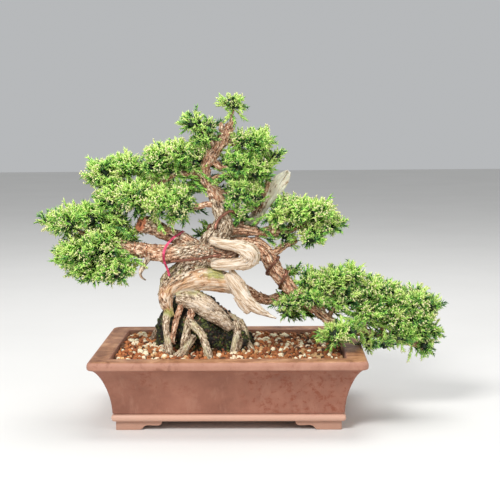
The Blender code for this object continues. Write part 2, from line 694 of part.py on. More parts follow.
def gnarl(wood):
    """Low waves along the wood, which is never round."""
    count = len(wood.data.vertices)
    normals = [wood.data.vertices[index].normal.copy() for index in range(count)]
    for vert, normal in zip(wood.data.vertices, normals):
        spot = vert.co / MM
        wave = noise.noise(Vector((spot.x * 0.045, spot.y * 0.09, spot.z * 0.045)))
        fine = noise.noise(spot * 0.16)
        vert.co += normal * MM * (1.1 * wave + 0.45 * fine)


def swollen(thing, name, distance):
    """A hidden copy, larger all round by the distance, that cuts a clear seat for the piece."""
    cutter = place(thing.data.copy(), name, cutter_group())
    cutter.data.materials.clear()
    grow = cutter.modifiers.new("Grow", "DISPLACE")
    grow.strength = distance * MM
    grow.mid_level = 0.0
    bake_modifiers(cutter)
    return make_cutter(cutter)


# Soil and moss

def soil_height(x, y):
    """The surface rises a little from the rim towards the roots."""
    away = math.hypot((x - MOUND_CENTRE[0]) / 120.0, (y - MOUND_CENTRE[1]) / 70.0)
    return SOIL_EDGE + 4.5 * max(0.0, 1.0 - away) ** 0.7


def cavity_inset(z):
    """How far the cavity's wall lies inside the rim's outline at this height."""
    for (outer, top), (inner, bottom) in zip(CAVITY, CAVITY[1:]):
        if z >= bottom:
            share = min(max((top - z) / (top - bottom), 0.0), 1.0)
            return outer + (inner - outer) * share
    return CAVITY[-1][0]


def onto_ring(x, y, inset):
    """The nearest point on the rounded rectangle that the soil's edge follows."""
    half_x, half_y = RIM_LENGTH / 2 - inset, RIM_DEPTH / 2 - inset
    x, y = max(-half_x, min(half_x, x)), max(-half_y, min(half_y, y))
    radius = max(RIM_CORNER - inset * 0.35, 3.0)
    over_x, over_y = abs(x) - (half_x - radius), abs(y) - (half_y - radius)
    if over_x > 0 and over_y > 0 and math.hypot(over_x, over_y) > radius:
        scale = radius / math.hypot(over_x, over_y)
        x = math.copysign(half_x - radius + over_x * scale, x)
        y = math.copysign(half_y - radius + over_y * scale, y)
    return x, y


def make_soil(group, finish):
    """A block that fills the cavity, its top raised into coarse grains."""
    draw = random.Random(11)
    inset = cavity_inset(SOIL_EDGE) + CLEARANCE
    half_x, half_y = RIM_LENGTH / 2 - inset, RIM_DEPTH / 2 - inset
    columns, rows = SOIL_CELLS
    shape = bmesh.new()
    bmesh.ops.create_grid(shape, x_segments=columns, y_segments=rows, size=1.0)
    rim = {vert for edge in shape.edges if edge.is_boundary for vert in edge.verts}
    for vert in shape.verts:
        x, y = vert.co.x * half_x, vert.co.y * half_y
        if vert in rim:
            x, y = onto_ring(x, y, inset)
            vert.co = Vector((x, y, SOIL_EDGE)) * MM
        else:
            x, y = x + draw.uniform(-1.6, 1.6), y + draw.uniform(-1.6, 1.6)
            vert.co = Vector((x, y, soil_height(x, y) + draw.uniform(-0.6, 0.5))) * MM
    poked = bmesh.ops.poke(shape, faces=[face for face in shape.faces if not rim & set(face.verts)])
    for vert in poked["verts"]:
        vert.co.z += draw.uniform(*GRAIN_HEIGHT) * MM

    edge = [edge for edge in shape.edges if edge.is_boundary]
    for z in (62.0, 42.0, FLOOR_TOP + CLEARANCE):
        wall = cavity_inset(z) + CLEARANCE
        grown = bmesh.ops.extrude_edge_only(shape, edges=edge)["geom"]
        edge = [item for item in grown if isinstance(item, bmesh.types.BMEdge)]
        scale_x = (RIM_LENGTH / 2 - wall) / half_x
        scale_y = (RIM_DEPTH / 2 - wall) / half_y
        for vert in {vert for item in edge for vert in item.verts}:
            vert.co = Vector((vert.co.x * scale_x, vert.co.y * scale_y, z * MM))
        half_x, half_y = RIM_LENGTH / 2 - wall, RIM_DEPTH / 2 - wall
    bmesh.ops.contextual_create(shape, geom=edge)
    bmesh.ops.recalc_face_normals(shape, faces=shape.faces)
    return object_from_bmesh(shape, "soil", group, finish)


def clear_screens(soil):
    """Recesses in the soil's underside for each drain screen and the clip over it."""
    side = SCREEN_SIDE + 2 * CLEARANCE
    low = FLOOR_TOP - 1.0
    screen_top = FLOOR_TOP + SCREEN_THICKNESS + 2 * CLEARANCE
    clip_top = screen_top + 2 * CLIP_RADIUS + 2 * CLEARANCE
    clip_size = (2 * (CLIP_HALF + CLIP_RADIUS + CLEARANCE), 2 * (CLIP_RADIUS + CLEARANCE))
    for sign in (-1, 1):
        x = sign * DRAIN_X
        seats = (
            ("screen_seat", (side, side), screen_top),
            ("clip_seat", clip_size, clip_top),
        )
        for name, size, top in seats:
            cutter = box_cutter(name, (x, 0.0, (low + top) / 2), (*size, top - low), cutter_group())
            boolean(soil, "DIFFERENCE", cutter)
            bake_modifiers(soil)


def lumpy_ball(shape, middle, radii, lump, seed, subdivisions=2):
    """A ball pushed in and out by smooth noise, added to the shape."""
    made = bmesh.ops.create_icosphere(shape, subdivisions=subdivisions, radius=1.0)["verts"]
    shift = Vector((seed * 3.1, seed * 1.7, seed * 5.3))
    for vert in made:
        swell = 1.0 + lump * noise.noise(vert.co * 1.9 + shift)
        vert.co = Vector([(m + c * swell * r) * MM for m, c, r in zip(middle, vert.co, radii)])
    return made


def make_mound(group, finish):
    """The wet lump of moss and muck under the roots, its underside bedded in the soil."""
    shape = bmesh.new()
    made = lumpy_ball(shape, MOUND_CENTRE, MOUND_RADII, 0.32, 4, subdivisions=3)
    base = MOUND_CENTRE[2] * MM
    for vert in made:
        if vert.co.z < base:
            vert.co.z = base + (vert.co.z - base) * MOUND_UNDERSIDE
    return object_from_bmesh(shape, "moss_mound", group, finish)


# Wires and the tie

def skin_of(wood):
    points = [vert.co / MM for vert in wood.data.vertices]
    return BVHTree.FromPolygons(points, [face.vertices[:] for face in wood.data.polygons])


def pushed_clear(point, skin, distance):
    """The point, moved outwards until it lies this far from the wood."""
    for _ in range(12):
        spot, normal, _, away = skin.find_nearest(point)
        inside = (point - spot).dot(normal) < 0
        if not inside and away >= distance:
            break
        point = spot + normal * (distance + 0.02)
    return point


def coil_route(limb, start, end, turns, radius, skin, phase=0.0):
    """Points of a wire wound on a limb, between two of the limb's own points, just clear of its bark."""
    fine = 12
    line = smooth_route(LIMBS[limb], fine)
    steps = round(turns * math.tau / WIRE_STEP)
    side = None
    route = []
    for step in range(steps + 1):
        along = (start + (end - start) * step / steps) * fine
        index = min(int(along), len(line) - 2)
        middle = line[index].lerp(line[index + 1], along - index)
        tangent = (line[index + 1] - line[index]).to_3d().normalized()
        if side is None:
            side = tangent.orthogonal().normalized()
        side = (side - tangent * side.dot(tangent)).normalized()
        angle = phase + step * WIRE_STEP
        out = side * math.cos(angle) + tangent.cross(side) * math.sin(angle)
        girth = middle[3]
        hit, _, _, away = skin.ray_cast(middle.to_3d(), out, girth * 1.4)
        reach = (away if hit is not None else girth) + radius + WIRE_GAP
        route.append(middle.to_3d() + out * reach)
    return settle(route, radius, skin)


def settle(route, radius, skin):
    """Smooths a wire's route and lifts it clear of the wood, by turns."""
    for _ in range(3):
        middle = [(a + 2 * b + c) / 4 for a, b, c in zip(route, route[1:], route[2:])]
        route = [route[0], *middle, route[-1]]
        route = [pushed_clear(point, skin, radius + WIRE_GAP) for point in route]
        for index in range(len(route) - 1):
            between = route[index].lerp(route[index + 1], 0.5)
            shift = pushed_clear(between, skin, radius + CLEARANCE + 0.1) - between
            route[index] += shift
            route[index + 1] += shift
    return route


def laid_route(points, radius, skin, steps=3):
    """A wire through a few points of its own, lifted clear of the wood."""
    return settle([p.to_3d() for p in smooth_route(points, steps)], radius, skin)


def make_wires(group, wood, aluminium, copper, plastic):
    skin = skin_of(wood)
    obstacles = []
    for name, (limb, start, end, turns, phase) in COILS.items():
        thin = name == THIN_COIL
        radius = THIN_WIRE_RADIUS if thin else WIRE_RADIUS
        route = coil_route(limb, start, end, turns, radius, skin, math.radians(phase))
        tube(name, group, copper if thin else aluminium, route, radius, sides=1)
        obstacles += route
    route = laid_route(CREVICE_WIRE, WIRE_RADIUS, skin)
    tube("wire_crevice", group, aluminium, route, WIRE_RADIUS, sides=1)
    obstacles += route
    route = laid_route(TIE_ROUTE, TIE_THICKNESS / 2, skin)
    make_tie(group, plastic, route, skin)
    return obstacles + route


def make_tie(group, finish, route, skin):
    """A flat plastic strap along the route, its broad side turned to the bark all the way."""
    outs = [(point - skin.find_nearest(point)[0]).normalized() for point in route]
    for _ in range(2):
        outs = [(a + b + c).normalized() for a, b, c in zip([outs[0], *outs], outs, [*outs[1:], outs[-1]])]
    shape = bmesh.new()
    rings = []
    for before, point, after, out in zip([route[0], *route], route, [*route[1:], route[-1]], outs):
        along = (after - before).normalized()
        lift = (out - along * out.dot(along)).normalized() * TIE_THICKNESS / 2
        side = along.cross(lift).normalized() * TIE_WIDTH / 2
        rings.append([shape.verts.new((point + side * u + lift * w) * MM) for u, w in TIE_SECTION])
    loft(shape, rings)
    object_from_bmesh(shape, "tie", group, finish)


# Foliage

def inside(point, clump, share, margin=0.0):
    middle, radii = Vector(clump[:3]), clump[3:]
    return sum(((p - m) / (r * share + margin)) ** 2 for p, m, r in zip(point, middle, radii)) < 1.0


def even_directions(count, draw):
    """Directions spread evenly over a sphere, each turned a little by the draw."""
    golden = math.pi * (3 - math.sqrt(5))
    for index in range(count):
        z = 1 - 2 * (index + 0.5) / count
        flat = math.sqrt(1 - z * z)
        jitter = Vector([draw.uniform(-0.18, 0.18) for _ in range(3)])
        turn = index * golden
        yield (Vector((flat * math.cos(turn), flat * math.sin(turn), z)) + jitter).normalized()


def clump_area(clump):
    """The surface of a ball stretched to three radii, by a power mean of its three sections."""
    a, b, c = clump[3:]
    power = 1.6
    return 4 * math.pi * (((a * b) ** power + (a * c) ** power + (b * c) ** power) / 3) ** (1 / power)


def samples(start, end, step=2.5):
    count = max(2, math.ceil((end - start).length / step) + 1)
    return [start.lerp(end, i / (count - 1)) for i in range(count)]


def points_tree(points):
    tree = KDTree(len(points))
    for index, point in enumerate(points):
        tree.insert(point, index)
    tree.balance()
    return tree


def core_of_pad(name, clumps, group, finish, seed):
    """One low body: a lumpy ball in each clump and stems from clump to clump, skinned and thinned."""
    shape = bmesh.new()
    for index, clump in enumerate(clumps):
        lumpy_ball(shape, clump[:3], [r * CORE_SHARE for r in clump[3:]], 0.35, seed + index * 0.37)
        if index:
            here = Vector(clump[:3])
            near = min((Vector(other[:3]) for other in clumps[:index]), key=lambda p: (p - here).length)
            along = near - here
            stem = bmesh.ops.create_cone(
                shape, cap_ends=True, segments=6, radius1=STEM_RADIUS * MM, radius2=STEM_RADIUS * MM,
                depth=along.length * MM,
            )["verts"]
            turn = along.to_track_quat("Z", "Y").to_matrix().to_4x4()
            bmesh.ops.transform(shape, matrix=Matrix.Translation((here + near) / 2 * MM) @ turn, verts=stem)
    pad = object_from_bmesh(shape, name, group, finish)
    skin = pad.modifiers.new("Skin", "REMESH")
    skin.mode = "VOXEL"
    skin.voxel_size = CORE_VOXEL * MM
    bake_modifiers(pad)
    thin = pad.modifiers.new("Thin", "DECIMATE")
    thin.ratio = min(1.0, (CORE_FACES * (len(clumps) + 1)) / (2 * len(pad.data.polygons)))
    bake_modifiers(pad)
    keep_largest(pad)
    return pad


def grow(shape, face, middle, size):
    """Extrudes one face, and sets the new face's middle and its half width."""
    tip = bmesh.ops.extrude_discrete_faces(shape, faces=[face])["faces"][0]
    centre = tip.calc_center_median()
    widest = max((vert.co - centre).length for vert in tip.verts)
    for vert in tip.verts:
        vert.co = middle * MM + (vert.co - centre) * (size * MM / widest)
    return tip


def grow_spray(shape, face, base, tip, fork):
    """A spray of three cords from one face of the core: a leader, and two side shoots from its foot."""
    foot = grow(shape, face, base, CORD_RADIUS)
    before = set(shape.faces)
    knot = grow(shape, foot, base.lerp(tip, fork), CORD_RADIUS * 0.85)
    sides = [side for side in shape.faces if side not in before and side != knot]
    grow(shape, knot, tip, CORD_TIP)
    along = tip - base
    for side in sides[:2]:
        out = side.normal.normalized()
        out = (out - along.normalized() * out.dot(along.normalized())).normalized()
        root = side.calc_center_median() / MM
        reach = along.length * SHOOT_SHARE
        aim = along.normalized() * math.cos(SPRAY_SPREAD) + out * math.sin(SPRAY_SPREAD)
        grow(shape, side, root + aim * reach, CORD_TIP)


def make_pad(name, clumps, group, finish, cutters, taken, seed):
    """A bunch of foliage: its core, and sprays of cords that stand out of it all over."""
    draw = random.Random(seed)
    pad = core_of_pad(name, clumps, group, finish, seed)
    others = [clump for other, rows in PADS.items() if other != name for clump in rows]
    tree = points_tree(taken)
    shape = bmesh.new()
    shape.from_mesh(pad.data)
    bmesh.ops.triangulate(shape, faces=shape.faces)
    shape.faces.ensure_lookup_table()
    core = BVHTree.FromBMesh(shape)
    chosen = {}
    own = []
    for clump in clumps:
        middle, radii = Vector(clump[:3]), clump[3:]
        for direction in even_directions(max(SPRAYS_FEWEST, round(clump_area(clump) / SPRAY_AREA)), draw):
            tip = middle + Vector([d * r * SPRAY_REACH for d, r in zip(direction, radii)])
            if any(inside(tip, other, 0.85) for other in clumps if other != clump):
                continue
            spot, normal, index, _ = core.ray_cast(middle * MM, (tip - middle).normalized())
            if spot is None:
                continue
            face = shape.faces[index]
            base = face.calc_center_median() / MM + face.normal * 0.8
            near = {index, *(other.index for vert in face.verts for other in vert.link_faces)}
            if near & set(chosen) or (tip - base).normalized().dot(face.normal) < 0.35:
                continue
            way = (tip - base).normalized()
            length = max((tip - base).length, SPRAY_SHORTEST)
            tip = base + way * length
            row = samples(base, tip)
            if core.ray_cast(tip * MM, -way, (length - 0.5) * MM)[0] is not None:
                continue
            if any(tree.find(point)[2] < SPRAY_KEEP_OFF for point in row):
                continue
            if own and any((point - old).length < SPRAY_APART for point in row[1:] for old in own):
                continue
            if any(inside(point, other, CORE_SHARE * 1.15, 4.5) for other in others for point in row):
                continue
            chosen[index] = (base, tip, draw.uniform(0.4, 0.55))
            own += row
    faces = {index: shape.faces[index] for index in chosen}
    for index, (base, tip, fork) in chosen.items():
        grow_spray(shape, faces[index], base, tip, fork)
    shape.to_mesh(pad.data)
    shape.free()
    untangle(pad)
    taken += own
    seat(pad, cutters)
    return pad


def recentre(parts):
    """Puts the origin under the middle of the whole tree, by one parent that carries every piece."""
    bpy.context.view_layer.update()
    corners = [thing.matrix_world @ Vector(corner) for thing in parts.objects for corner in thing.bound_box]
    low = Vector([min(c[axis] for c in corners) for axis in range(3)])
    high = Vector([max(c[axis] for c in corners) for axis in range(3)])
    origin = bpy.data.objects.new("Bonsai", None)
    pieces = list(parts.objects)
    parts.objects.link(origin)
    for thing in pieces:
        thing.parent = origin
    origin.location = (-(low.x + high.x) / 2, -(low.y + high.y) / 2, -low.z)


def main():
    clear_scene()
    parts = collection("Shimpaku juniper bonsai")
    collection("Cutters")

    clay = material("Unglazed brown clay", (0.28, 0.15, 0.11), 0.75)
    screen_plastic = material("Black screen plastic", (0.03, 0.03, 0.03), 0.5)
    steel = material("Clip wire", (0.5, 0.45, 0.4), 0.4, 1.0)
    bark = material("Bark and deadwood", (0.42, 0.32, 0.22), 0.85)
    grains = material("Akadama and pumice", (0.42, 0.18, 0.09), 0.95)
    moss = material("Moss and muck", (0.05, 0.06, 0.02), 0.9)
    aluminium = material("Brown aluminium wire", (0.2, 0.09, 0.05), 0.45, 0.8)
    copper = material("Copper wire", (0.4, 0.17, 0.08), 0.4, 1.0)
    plastic = material("Pink plastic tie", (0.75, 0.08, 0.17), 0.4)
    green = material("Shimpaku foliage", (0.13, 0.3, 0.06), 0.7)

    make_pot(parts, clay)
    for side, sign in (("left", -1), ("right", 1)):
        make_screen(f"drain_screen_{side}", parts, screen_plastic, sign * DRAIN_X)
        make_clip(f"screen_clip_{side}", parts, steel, sign * DRAIN_X)
    wood = make_wood(parts, bark)
    wood_cutter = swollen(wood, "wood_seat", CUT_CLEARANCE)

    mound = make_mound(parts, moss)
    soil = make_soil(parts, grains)
    boolean(soil, "DIFFERENCE", swollen(mound, "mound_seat", CUT_CLEARANCE))
    bake_modifiers(soil)
    clear_screens(soil)
    for piece in (soil, mound):
        seat(piece, (wood_cutter, wood))

    taken = make_wires(parts, wood, aluminium, copper, plastic)
    for seed, (name, clumps) in enumerate(PADS.items(), 3):
        make_pad(name, clumps, parts, green, (wood_cutter, wood), taken, seed)
    recentre(parts)


main()
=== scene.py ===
"""Shimpaku juniper bonsai in its clay pot, dressed over the solid model.

Lengths are in millimetres from the middle of the pot on the ground, X to the right, Y away and Z up.
Each finished piece is scaled to metres and set over the model's own pot.
"""

import math
import random

import bmesh
import bpy
import numpy as np
from mathutils import Matrix, Vector, noise
from mathutils.bvhtree import BVHTree


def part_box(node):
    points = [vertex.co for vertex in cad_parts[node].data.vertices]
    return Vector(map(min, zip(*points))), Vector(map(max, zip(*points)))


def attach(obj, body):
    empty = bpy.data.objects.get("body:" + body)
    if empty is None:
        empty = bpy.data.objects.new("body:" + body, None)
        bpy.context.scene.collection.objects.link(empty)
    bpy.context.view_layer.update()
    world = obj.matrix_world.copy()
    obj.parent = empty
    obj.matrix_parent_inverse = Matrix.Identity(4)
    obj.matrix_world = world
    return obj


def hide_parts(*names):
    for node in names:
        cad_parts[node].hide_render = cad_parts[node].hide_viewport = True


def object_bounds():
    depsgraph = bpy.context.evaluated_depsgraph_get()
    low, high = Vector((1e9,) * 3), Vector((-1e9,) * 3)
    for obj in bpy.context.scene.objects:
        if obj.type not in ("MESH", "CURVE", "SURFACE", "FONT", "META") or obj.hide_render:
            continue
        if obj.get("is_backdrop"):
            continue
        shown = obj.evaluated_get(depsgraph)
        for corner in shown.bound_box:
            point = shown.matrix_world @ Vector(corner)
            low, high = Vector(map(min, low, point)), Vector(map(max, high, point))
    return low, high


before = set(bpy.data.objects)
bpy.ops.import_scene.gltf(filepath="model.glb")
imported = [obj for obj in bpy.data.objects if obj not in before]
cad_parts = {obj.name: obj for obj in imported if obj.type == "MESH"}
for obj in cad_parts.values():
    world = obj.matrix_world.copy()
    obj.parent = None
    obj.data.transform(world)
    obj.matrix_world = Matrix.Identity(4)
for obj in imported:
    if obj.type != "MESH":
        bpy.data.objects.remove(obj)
model_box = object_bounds()

MM = 0.001
pot_low, pot_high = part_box("pot")
POT_MIDDLE = Vector(((pot_low.x + pot_high.x) / 2, (pot_low.y + pot_high.y) / 2, pot_low.z))
TO_MODEL = Matrix.Translation(POT_MIDDLE) @ Matrix.Scale(MM, 4)

# Sizes of the pot, as the model has them
RIM_LENGTH, RIM_DEPTH, POT_HEIGHT = 300.0, 208.0, 80.4
RIM_CORNER = 9.0
RIM_LAND = 22.5
LIP_HEIGHT = 9.0
WALL_INSET = 23.8
CAVETTO_POWER = 1.7
BAND_TOP, BAND_BOTTOM, BAND_INSET, BAND_BULGE = 18.0, 10.2, 22.6, 2.6
LIP_ROUNDING, LIP_ROUNDING_HEIGHT = 4.6, 4.8
FLOOR_TOP = 17.5
FOOT_INSET, FOOT_THICKNESS = 27.2, 11.0
FOOT_LENGTH_FRONT, FOOT_LENGTH_SIDE = 50.0, 40.0
ARM_SHIFT = 0.5  # along itself, so that a foot's two arms share no face
DRAIN_X, DRAIN_RADIUS = 58.0, 10.0

# Soil, moss and roots
SOIL_EDGE = 75.6
SOIL_RISE, HEAP_LENGTH, HEAP_DEPTH = 4.5, 120.0, 70.0  # of the heap round the roots
SOIL_INSET, GRAINS_INSET = 24.4, 23.0
SOIL_STEPS = ((62.0, 24.8), (42.0, 29.6), (21.6, 31.6))  # height and inset of the bed's side inside the pot
# The bed under the grains, painted dark as the shade in the gaps between them
GAP_SHADE_SOIL = (0.08, 0.028, 0.014)
BED_LENGTH, BED_DEPTH = 250, 158
GRAIN_PITCH = 4.5
GRAIN_RADII = (1.6, 2.2, 2.6, 2.9, 3.3)
PUMICE_SIZE = 1.25  # times the other grains
# Pumice, pale akadama, dark grit and two reds: the share up to each, and its colour
GRAINS = (
    (0.13, (1.0, 0.85, 0.6)), (0.24, (0.72, 0.43, 0.2)), (0.35, (0.13, 0.055, 0.025)),
    (0.72, (0.54, 0.19, 0.06)), (1.0, (0.38, 0.115, 0.038)),
)
MUCK_CRUMBS = 1500
# Partly painted shade: the crumbs are darkened for the crown's shade over the lump
MUCK_AND_SHADE_COLOURS = (
    (0.012, 0.008, 0.005), (0.02, 0.028, 0.005), (0.05, 0.065, 0.01), (0.05, 0.022, 0.01),
    (0.005, 0.004, 0.003), (0.13, 0.15, 0.03), (0.09, 0.12, 0.02), (0.1, 0.05, 0.022), (0.006, 0.004, 0.003),
)
MOUND_CENTRE, MOUND_RADII = (-28.0, -8.0, 75.0), (56.0, 36.0, 48.0)
SHOULDER, SHOULDER_WIDTHS, SHOULDER_HEIGHT = (-54, -8), (22, 20), 26  # of the lump, under the left roots
ROOTLETS, FRONT_SHARE = 20, 0.75  # how many fine roots, and the share of them in front
ROOTLET_RING = (22, 14)  # where they start, round the middle of the lump
ABOVE_MOUND = 130.0

# Wood
WOOD_VOXEL = 0.7
WOOD_TRIANGLES = 185000
FLAKE_AREA, BARE_FLAKE_AREA = 20.0, 120.0  # square millimetres of bark, or of bare wood, for each loose scrap
FLAKY_RADIUS = 2.2  # of the thinnest limb with loose scraps
SAIL_MIDDLE, SAIL_ACROSS = (40, 15, 240), (0.19, 0.91, -0.37)
SAIL_FLATTENED = 0.55
SAIL_LEAN, SAIL_SPREAD = 0.7, 0.25  # its lean to the right as it rises, and how far its upper half widens
GRAIN_TWIST = 0.012  # of a radian for each millimetre along a limb
LIMB_SIDES = 14
LIMB_BLEND = 0.8  # over which one limb's bark passes into the next one's
LIMB_MARGIN, POINTS_AT_ONCE = 6.0, 4000  # in the search for the limb that a point belongs to
CUT_RADIUS = 10  # of the sawn end of the left fork
LIMB_SHIFT = 37.0  # along the grain from one limb to the next, so that no two look alike

# Foliage
TUFT_AREA = 124.0  # square millimetres of a clump's surface for each spray of sprigs
SMALL_CLUMP, SMALL_CLUMP_THINNED = 20, 1.35  # a clump under this radius has so much more room for each
LEADER_SHARE, LEADER_REACH = 0.2, 0.26  # of the sprays reach out past the rest, and by how much of the radius
# The dark sprigs deep in a clump are painted shade
SHADED_INNER_SHARE = 0.6  # of the sprays have a dark sprig behind them
BUDDED_SHARE, LOOSE_BUDDED_SHARE = 0.6, 0.5  # of the sprigs in a rich patch, in clumps and in loose sprays
SPRAY_REACH, SPRAY_REACH_MOST = 0.94, 1.38  # of the clump's radius
SPRAY_LEAN, SPRAY_RISE = 0.34, 0.3  # how far a spray turns away from the trunk, and upwards
SPREAD_MIDDLE, SPREAD_USUAL, SPREAD_LEADER = 12, 52, 22  # degrees between a spray's way and its sprigs
# Painted light: a clump's top is painted brighter, its underside darker
UNDERSIDE_SHADE_TONE, TOP_LIGHT_GAIN = 0.24, 0.38  # how bright a clump is at its underside, and what its top gains
SPRIG_LENGTHS = (13.5, 18.0)
SPRIG_LENGTH = 14.5  # by which a sprig is sized to its room
SPRIG_SHOOTS = 9
SPRIG_BUDS = 5
CORD_WIDTH, BUD_SIZE = 1.1, 1.05  # half widths
# Size of the dark ball painted as shade inside each clump
SHADE_HEART_SHARE = 0.5  # of a clump's radii
SLEEVE_STEP = 3.0  # between sprigs along a twig
# The point of each limb past which leaves grow on it
LEAFLESS = {"trunk": 17.5, "left_branch": 6.3, "right_branch": 12.5, "right_lower": 5.5, "right_upper": 5.0}
LEAFLESS_ELSEWHERE = 1.3
PAD_REACH = 8.0  # from a pad to a limb that still belongs to it

# Wires and the tie
WIRE_RADIUS, RING_WIRE_RADIUS, THIN_WIRE_RADIUS, WIRE_SIDES = 1.6, 1.75, 0.8, 12
WIRE_STEP = math.radians(30)  # of a turn, between two points of a coil
WIRE_CLEARANCE = 1.1  # from a wire's middle to the bark, in its own radii
TIE_HALF_WIDTH, TIE_TAPER, TIE_FLATTENED, TIE_CLEARANCE = 1.75, 0.5, 0.3, 0.7
CREVICE_WIRE = (
    (-74, -18, 176), (-70, -30, 177), (-62, -40, 180), (-45, -42, 182), (-32, -42, 183), (-21, -46, 186),
    (-8, -42, 187),
)
TIE_ROUTE = (
    (-50, -3, 203), (-51, -9, 210), (-54, -19, 209), (-60, -30, 206), (-67, -39, 199), (-71, -41, 190),
    (-71, -38, 180), (-68, -33, 171), (-66, -34, 163),
)

# The camera: degrees, and its place in metres from the pot's middle on the ground
CAMERA_YAW, CAMERA_PITCH, CAMERA_ROLL, FIELD_OF_VIEW = 1.26, 6.84, 0.48, 26.0
CAMERA_PLACE = (0.050, -1.221, 0.334)

